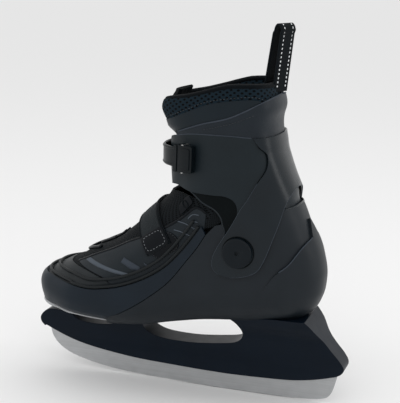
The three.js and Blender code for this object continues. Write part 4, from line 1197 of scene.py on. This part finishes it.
def make_tongue():
    """Padded tongue, with a cushion that stands up behind the front of the collar."""
    turns = np.linspace(THROAT_TURN, 2 - THROAT_TURN, 19)
    heights = np.linspace(200, 274, 27)
    across = (turns - 1) / (1 - THROAT_TURN)
    front, back = [], []
    for height in heights:
        levels = level_at(turns, height)
        x, _, z = surface(turns, levels).T
        inner = collar_outer(x, z) + lerp(3, 7, smooth(z, 230, 250)) + 0.4
        puff = np.clip(1 - across ** 4, 0, 1) * np.clip(1 - (np.abs(height - 235) / 36) ** 6, 0, 1)
        seam = 0.8 * np.exp(-((height - 246) / 1.6) ** 2)
        front.append(off(turns, levels, -inner - 1.6 * (1 - puff) - seam))
        back.append(off(turns, levels, -inner - 5 - 1.4 * puff))
    triangles = halved(grid_faces(len(heights), len(turns)))
    uv = np.stack([np.tile((turns - 1) * TURN_SPAN, len(heights)), np.repeat(heights, len(turns))], -1)
    tongue = thick("tongue_pad", np.vstack(front), np.vstack(back), triangles, uv)
    round_edges(tongue, 1.6, 4)
    finish(tongue, "cuff", rim_knit, "mesh", "tongue")


def collar_ring(turns, height_share):
    """Heights from the foot of the collar to its rim."""
    front = surface(turns, 264.0)[:, 0]
    low = lerp(lerp(171.0, 184.0, smooth(front, -32, -16)), 202.0, smooth(front, -12, 34))
    return low + (rim_height(front) - low) * height_share


ROLL_FROM = 0.94  # share of the collar's height where its faces begin to roll over


def rolled(share, depth):
    """How far a face of the collar turns in near its rim."""
    past = (share - ROLL_FROM) / (1 - ROLL_FROM)
    return depth * (1 - np.sqrt(np.clip(1 - past ** 2, 0, 1))) if past > 0 else 0.0


def make_collar():
    """Padded collar: one closed form round the leg, open at the throat."""
    turns = np.linspace(-THROAT_TURN - 0.015, THROAT_TURN + 0.015, 121)
    run = run_of(off(turns, level_at(np.abs(turns), collar_ring(turns, 0.8)), -2.0))
    near_rim = 0.82 + 0.18 * np.sin(np.linspace(0, math.pi / 2, 8))[1:]
    shares = np.concatenate([np.linspace(0, 0.82, 22), near_rim])
    rows, uvs = [], []

    def add_row(share, rise, measure):
        z = collar_ring(turns, share)
        levels = level_at(np.abs(turns), z)
        out = collar_outer(surface(turns, levels)[:, 0], z)
        rows.append(off(turns, levels, rise(z, share) - out))
        uvs.append(np.stack([run, measure(z)], -1))

    def outer_face(z, share):
        pad = np.sin(math.pi * np.clip((z - 236) / 34, 0, 1)) * smooth(z, 236, 244)
        return 0.5 * pad - rolled(share, 3.6)

    def inner_face(z, share):
        puff = 1.5 * np.sin(math.pi * np.clip((z - 225) / 50, 0, 1))
        return rolled(share, 3.4) - lerp(3.0, 7.0, smooth(z, 230, 250)) - puff

    for share in shares:
        add_row(share, outer_face, lambda z: z)
    for share in shares[::-1]:
        add_row(share, inner_face, lambda z: 560 - z)
    columns, total = len(turns), len(rows) * len(turns)
    faces = [tuple(v % total for v in f) for f in grid_faces(len(rows) + 1, columns)]
    faces += [tuple(range(0, total, columns)), tuple(range(columns - 1, total, columns))[::-1]]
    collar = make_object("collar_padding", np.vstack(rows), faces, np.vstack(uvs))
    finish(collar, "cuff", collar_mesh, "mesh", "liner_collar")


def make_rim():
    """Knitted roll along the top of the collar."""
    turns = np.linspace(-THROAT_TURN - 0.01, THROAT_TURN + 0.01, 120)
    path = off(turns, level_at(np.abs(turns), collar_ring(turns, 1.0) - 1.2), -4.4)
    rim = tube("collar_rim", path, np.array([0.0, 0.0, 1.0]), 3.7, 0.62, 18)
    finish(rim, "cuff", rim_knit, "mesh")


def make_collar_band():
    """Coated band between the mesh and the cuff, with a stitched line near its top."""
    mesh_line = spline([(60, 245), (56, 246), (37, 254), (14, 263), (-19, 268), (-30, 265)])
    low = straight([(-30, 226), (30, 226), (60, 226)])
    skins("collar_band", np.vstack([locate(mesh_line), locate(low)]),
          lambda x, z: 0.75 - collar_outer(x, z), lambda x, z: -0.4 - collar_outer(x, z), 3, 0.4,
          "cuff", band_coated, "panel")
    seams("collar_stitches", locate(sideways(mesh_line, -2.2)), -0.1, 3.0, 0.55, 0.32,
          "cuff", thread_dark, "panel")


REAR_TOP = [(46, 236.5), (23, 245), (1, 251), (-11, 256), (-24, 263), (-36, 270), (-44, 271.5)]


def make_rear_panel():
    """Coated panel round the heel of the collar, rounded over at its top."""
    top = locate(spline(REAR_TOP))
    front = locate(straight([(46, 224), (46, 236.5)]))
    path = np.vstack([param_line((0, 222), front[0], 40), front[1:], top[1:],
                      param_line(top[-1], heel_point(272.5)[0], 6)[1:]])

    def rise(x, z):
        swell = 1.8 * np.exp(-((z - 258) / 9) ** 2) * smooth(-x, 12, 34)
        return lerp(1.5, 0.6, smooth(z, 232, 242)) + swell

    panel = skin("rear_panel_sewn", about_heel(path), rise, -0.7, 2.6, 0.8)
    finish(panel, "cuff", panel_coated, "panel", "rear_panel")
    seam = spline([(20, 241), (0, 246.5), (-13, 251), (-25, 257), (-36, 263.5)])
    seams("rear_stitches", locate(seam), 1.35, 2.6, 0.6, 0.25, "cuff", thread_dark, "panel")


def make_achilles_panel():
    """Smooth coated panel of the liner that shows between the cuff and the heel of the shell."""
    low = locate(straight([(-34, 173), (-50, 173)]))
    high = locate(straight([(-34, 210), (-44, 210)]))
    front = locate(straight([(-34, 173), (-34, 210)]))
    loop = round_heel(173, 6, np.vstack([low[::-1], front[1:], high[1:]]), 210, 6)

    def rise(x, z):
        return lerp(-2.95, 0.0, smooth(z, 179, 190))

    panel = skin("achilles_panel", loop, rise, lambda x, z: rise(x, z) - 0.6, 3, 0.2)
    finish(panel, "cuff", band_coated, "panel")


make_achilles_panel()
make_linings()
make_boards()
make_tongue()
make_collar()
make_rim()
make_collar_band()
make_rear_panel()

# --- Pull loop ---

LOOP_ACROSS = np.array([math.sin(math.radians(25)), math.cos(math.radians(25)), 0.0])
LOOP_OUT = np.array([-LOOP_ACROSS[1], LOOP_ACROSS[0], 0.0])


def loop_path():
    """Middle line of the webbing, up one leg, over the fold and down the other."""
    heights = np.linspace(LOOP_BASE, LOOP_TOP - 8, 16)
    t = (heights - LOOP_BASE) / (LOOP_TOP - LOOP_BASE)
    leg = np.stack([LOOP_X + LOOP_LEAN * t, 0 * t, heights], -1)
    apart = (LOOP_GAP + LOOP_WALL) / 2 * (1 - 0.25 * t)
    top = np.array([LOOP_X + LOOP_LEAN, 0, heights[-1]])
    fold = np.array([0, 0, LOOP_TOP - LOOP_WALL / 2 - heights[-1]])
    angles = np.linspace(0, math.pi, 15)[1:-1, None]
    arc = top + LOOP_OUT * apart[-1] * np.cos(angles) + fold * np.sin(angles)
    aside = LOOP_OUT * apart[:, None]
    return np.vstack([leg + aside, arc, (leg - aside)[::-1]])


def make_pull_loop():
    """Folded webbing with two columns of reflective ticks."""
    path = evenly(loop_path(), 90)
    across = np.tile(LOOP_ACROSS, (len(path), 1))
    out = np.cross(unit(np.gradient(path, axis=0)), across)
    if (path[45] - path.mean(0)) @ out[45] < 0:
        out = -out
    loop = ribbon("pull_loop_webbing", path, across, out, LOOP_WIDTH, LOOP_WALL, 0.45)
    finish(loop, "cuff", loop_weave, "webbing", "pull_loop")
    for i, side in enumerate((-5.2, 5.2)):
        line = path + across * side + out * (LOOP_WALL / 2 + 0.06)
        ticks = stitches(f"pull_loop_ticks_{i + 1}", line[3:-3], out[3:-3], 3.4, 0.5, 0.55)
        finish(ticks, "cuff", reflective, "webbing")


make_pull_loop()

# --- Cuff ---

WING_REAR = [(-50, 205), (-42, 186), (-38, 160), (-34, 142), (-28, 128), (-14, 123), (-2, 128), (-2, 152)]
WING_FRONT = [(51, 190), (53, 198), (54, 212), (54, 229), (51, 232.5), (47, 233)]
WING_TOP = [(47, 233), (31, 236), (0, 237), (-21, 236.5)]
FLAP_REAR = [(0, 132), (-14, 126), (-23, 134), (-23, 186), (-14, 200), (20, 204), (50, 204)]
BORE = 5.3
GROOVE_RADIUS = 13.6
CUFF_HOLE = locate(oval(PIVOT, BORE, BORE)[:-1])
CUFF_HOLES = [CUFF_HOLE, CUFF_HOLE * (-1, 1)]  # in a layer that runs round the heel


def make_wing():
    rear = locate(spline(WING_REAR))
    lower = locate(spline(WING_LOWER)[::-1])
    front = locate(spline(WING_FRONT))
    top = locate(spline(WING_TOP))
    loop = round_heel(206, 9, np.vstack([rear, lower[1:], front[1:], top[1:]]), 236, 12)

    def rise(x, z):
        return WING_OUT + 0.25 * smooth(z, 231, 235) * smooth(-x, -56, -50)

    wing = skin("cuff_wing_moulding", loop, rise, WING_OUT - WING_WALL, 3.0, 0.55, CUFF_HOLES)
    finish(wing, "cuff", cuff_plastic, "cuff", "cuff_wing")


def make_cuff_frame():
    front = locate(spline(FRAME_FRONT))
    rear = locate(spline(FRAME_REAR))
    loop = round_heel(200.5, 8, np.vstack([front, rear[1:]])[::-1], 237, 14)
    spine = skin("cuff_frame_moulding", loop, lambda x, z: FRAME_OUT - 0.5 * smooth(z, 229, 236),
                 FRAME_OUT - FRAME_WALL, 2.8, 0.8, CUFF_HOLES)
    finish(spine, "cuff", frame_plastic, "frame", "cuff_frame")


BEADS = {  # line, height above the boot, radius, material
    # The light grey lips below are painted highlights along the wing's top, the frame's edges and the rear
    # panel's top.
    "wing_lip_highlight": (WING_TOP, WING_OUT - 0.5, 0.75, print_and_highlight_grey),
    "frame_joint": (FRAME_FRONT[1:-2], WING_OUT + 0.15, 0.55, flap_rubber_and_groove_shade),
    "frame_edge_highlight": (FRAME_REAR[1:], FRAME_OUT - 0.45, 0.5, print_and_highlight_grey),
    "frame_front_edge_highlight": (FRAME_FRONT[4:], FRAME_OUT - 0.45, 0.4, print_and_highlight_grey),
    "panel_lip_highlight": (REAR_TOP[:-1], 0.75, 0.7, print_and_highlight_grey),
}


def make_beads():
    """Rounded lips and dark joints that outline the cuff's layers; the light grey lips are painted
    highlights along the edges.
    """
    for name, (points, rise, radius, mat) in BEADS.items():
        cords(name, locate(spline(points)), rise, radius, 0.8, 10, "cuff", mat, "cuff")
    rim = np.vstack([locate(straight([(-40, 175), (-56, 177.5)])), heel_point(178)])
    whole = np.vstack([rim, (rim[:-1] * (-1, 1))[::-1]])
    finish(cord_on("shell_rear_lip", whole, -0.2, 0.8, 0.8, 10), "chassis", frame_plastic, "shell")


def make_flaps():
    edge = spline(FLAP_EDGE)
    holes = dict(both_sides(CUFF_HOLE))
    for side, place in both_sides(locate(np.vstack([edge, spline(FLAP_REAR)]))):
        flap = skin("cuff_flap_soft_" + side, place, FLAP_OUT, FLAP_OUT - FLAP_WALL, 2.8, 0.35,
                    [holes[side]])
        finish(flap, "cuff", flap_rubber_and_groove_shade, "flap", "cuff_flap_" + side)
    cords("cuff_flap_lip", locate(edge), FLAP_OUT - 0.1, 0.75, 0.7, 10, "cuff", frame_plastic, "flap")


CAP_PROFILE = [(0.02, -1.6), (1.6, -1.6), (1.6, -0.5), (2.3, -0.1), (2.9, -0.3), (3.4, 0), (11.6, -0.05),
               (12.4, -0.3), (12.9, -0.9), (13, -1.6), (13, -2.4)]


def make_pivots():
    """Turned cap and shank on each side, with a dark cord round it that is painted shade for the frame's
    groove.
    """
    for side, sign in (("inner", 1), ("outer", -1)):
        low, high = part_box("pivot_screw_" + side)
        near, far = sorted((abs(low[1]) / MM, abs(high[1]) / MM))
        profile = [(r, far + y) for r, y in CAP_PROFILE]
        profile += [(SCREW_RADIUS, far - 2.4), (SCREW_RADIUS, near), (0.02, near)]
        cap = round_edges(turned("pivot_cap_" + side, profile, sign), 0.2, 2, 50)
        finish(cap, "chassis", cap_plastic, "cap", "pivot_screw_" + side)
    groove = locate(oval(PIVOT, GROOVE_RADIUS, GROOVE_RADIUS, count=64))
    # Dark cord round each cap: painted shade in the recessed groove of the frame.
    cords("pivot_groove_shade", groove, FRAME_OUT - 0.35, 0.6, 1.0, 8, "cuff", flap_rubber_and_groove_shade, "cap")


RECEIVER = {  # first and last x, half height, corner radius, outer and inner face, pitch, edge
    "body": (26.5, 41.5, 11.9, 2.0, 9.6, FRAME_OUT, 2.0, 0.9),
    "plate": (28.5, 37.5, 9.4, 1.5, 10.3, 9.2, 2.0, 0.5),
    "lip": (39.4, 42, 11.9, 1.0, 10.4, FRAME_OUT, 1.5, 0.6),
}


def make_receiver():
    for name, (x0, x1, half, radius, *faces, pitch, edge) in RECEIVER.items():
        low, high = STRAP_Z - half, STRAP_Z + half
        loop = outline([(x0, low), (x1, low), (x1, high), (x0, high)], radius, 1.5)
        nodes = ["strap_receiver"] if name == "body" else []
        piece = skin("strap_receiver_" + name, loop, *faces, pitch, edge)
        finish(piece, "cuff", strap_plastic, "frame", *nodes)


def shin_line(first, last, rise, count):
    """Level path round the shin, from an x on the inner side to an x on the outer side."""
    turns = np.linspace(locate([(first, STRAP_Z)])[0][0], 2 - locate([(last, STRAP_Z)])[0][0], count)
    levels = level_at(turns, STRAP_Z)
    return off(turns, levels, rise), normal(turns, levels)


TOOTH_PITCH, TOOTH_LENGTH, TOOTH_HEIGHT, TOOTH_HALF = 3.0, 1.8, 0.75, 4.6


def make_ladder_strap():
    middle, out = shin_line(30, -14, STRAP_OUT + STRAP_WALL / 2, 120)
    out = unit(out * (1, 1, 0))
    across = np.tile([0.0, 0.0, 1.0], (len(middle), 1))
    strap = ribbon("ladder_strap_moulding", middle, across, out, STRAP_WIDTH, STRAP_WALL, 0.6)
    finish(strap, "cuff", strap_plastic, "nylon", "ladder_strap")
    for name, sign in (("low", -1), ("high", 1)):
        line = middle + across * sign * (STRAP_WIDTH / 2 - 1.6) + out * STRAP_WALL / 2
        finish(tube("ladder_rail_" + name, line, out, 0.7, 0.8, 8), "cuff", strap_plastic, "nylon")


def make_ladder_teeth():
    """Wedges across the strap, on the outer side where the buckle grips."""
    middle, out = shin_line(48, -10, STRAP_OUT + STRAP_WALL, 160)
    outer_half = middle[:, 1] < -6
    kept, lift = middle[outer_half], out[outer_half]
    run = run_of(kept)
    points, faces, uv = [], [], []
    for start in np.arange(2, run[-1] - 3, TOOTH_PITCH):
        end = start + TOOTH_LENGTH
        place, ahead, up = at_run(kept, run, start), at_run(kept, run, end), at_run(lift, run, start)
        for z in (-TOOTH_HALF, TOOTH_HALF):
            points += [p + (0, 0, z) for p in (place, ahead, ahead + up * TOOTH_HEIGHT)]
            uv += [(start, z), (end, z), (end, z)]
        base = len(points) - 6
        wedge = [(0, 1, 2), (5, 4, 3), (0, 3, 4, 1), (1, 4, 5, 2), (2, 5, 3, 0)]
        faces += [tuple(base + v for v in f) for f in wedge]
    finish(make_object("ladder_teeth", points, faces, np.array(uv)), "cuff", strap_plastic, "nylon")


make_wing()
make_cuff_frame()
make_beads()
make_flaps()
make_pivots()
make_receiver()
make_ladder_strap()
make_ladder_teeth()

# --- Hardware whose CAD shape is right ---


REFINED = {  # edge, body, material, slot
    "buckle_base": (0.5, "cuff", strap_plastic, "frame"),
    "buckle_lever": (0.9, "buckle_lever", frame_plastic, "frame"),
    "release_pawl": (0.4, "release_pawl", cap_plastic, "cap"),
    "size_button": (0.6, "size_lock", cap_plastic, "cap"),
    "instep_strap_ring": (0.3, "toe", strap_plastic, "nylon"),
}
METAL_STARTS = ("holder_screw_", "pivot_nut_", "lever_pin", "pawl_pin", "pawl_spring", "strap_rivet_",
                "size_button_spring")


def make_hardware():
    for name, how in REFINED.items():
        refined(name, *how)
    for starts, mat in ((METAL_STARTS, zinc), (("pivot_bushing_",), strap_plastic)):
        for name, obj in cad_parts.items():
            if name.startswith(starts):
                obj.data.materials.clear()
                obj.data.materials.append(mat)


make_hardware()

# --- Floor, light and camera ---

TARGET = Vector((0.035, 0.0, 0.1704))
BACK = Vector((-0.3172, 0.9213, 0.2250)).normalized()
ROLL = math.radians(1)
SENSOR, DISTANCE, VIEW_HEIGHT = 36, 1000, 354.64  # millimetres; the view's height is at the target
LENS = SENSOR * DISTANCE / VIEW_HEIGHT
FLOOR_HALF = 12.0
LIGHT_AIM = (0.03, 0.0, 0.15)
LIGHTS = {  # place, width and height, power
    "key": ((-0.5, 1.3, 1.3), (1.2, 1.0), 3),
    "side": ((1.3, 0.6, 0.5), (0.5, 1.0), 2.2),
    "rear": ((-1.2, -0.2, 0.7), (0.3, 1.2), 3),
    "top": ((0.1, -0.3, 1.6), (1.4, 0.8), 1.5),
}


def make_floor():
    mat = material("floor_pale", (0.83, 0.83, 0.83), 0.8, specular=0.0)
    bump(mat, noise(mat, places(mat), 400.0), 0.02)
    mesh = bpy.data.meshes.new("floor")
    corners = [(x * FLOOR_HALF, y * FLOOR_HALF, 0) for x, y in ((-1, -1), (1, -1), (1, 1), (-1, 1))]
    mesh.from_pydata(corners, [], [(0, 1, 2, 3)])
    mesh.materials.append(mat)
    floor = bpy.data.objects.new("floor", mesh)
    bpy.context.scene.collection.objects.link(floor)
    floor.location.z = -0.0005


def area_light(name, place, size, power):
    data = bpy.data.lights.new(name, "AREA")
    data.shape = "RECTANGLE"
    data.size, data.size_y = size
    data.energy = power
    light = bpy.data.objects.new(name, data)
    light.location = place
    light.rotation_euler = (Vector(LIGHT_AIM) - Vector(place)).to_track_quat("-Z", "Y").to_euler()
    bpy.context.scene.collection.objects.link(light)


def make_light():
    for name, how in LIGHTS.items():
        area_light(name, *how)
    world = bpy.data.worlds.new("studio")
    world.use_nodes = True
    background = world.node_tree.nodes["Background"]
    background.inputs["Color"].default_value = (1, 1, 1, 1)
    background.inputs["Strength"].default_value = 0.95
    bpy.context.scene.world = world
    bpy.context.scene.view_settings.view_transform = "Standard"


def make_camera():
    data = bpy.data.cameras.new("camera")
    data.lens = LENS
    data.sensor_width = SENSOR
    data.clip_end = 100
    camera = bpy.data.objects.new("camera", data)
    right = Vector((0, 0, 1)).cross(BACK).normalized()
    up = BACK.cross(right)
    c, s = math.cos(ROLL), math.sin(ROLL)
    side, top = right * c + up * s, up * c - right * s
    matrix = Matrix((side, top, BACK)).transposed().to_4x4()
    matrix.translation = TARGET + BACK * DISTANCE * MM
    camera.matrix_world = matrix
    bpy.context.scene.collection.objects.link(camera)
    bpy.context.scene.camera = camera


make_floor()
make_light()
make_camera()

bpy.context.view_layer.update()
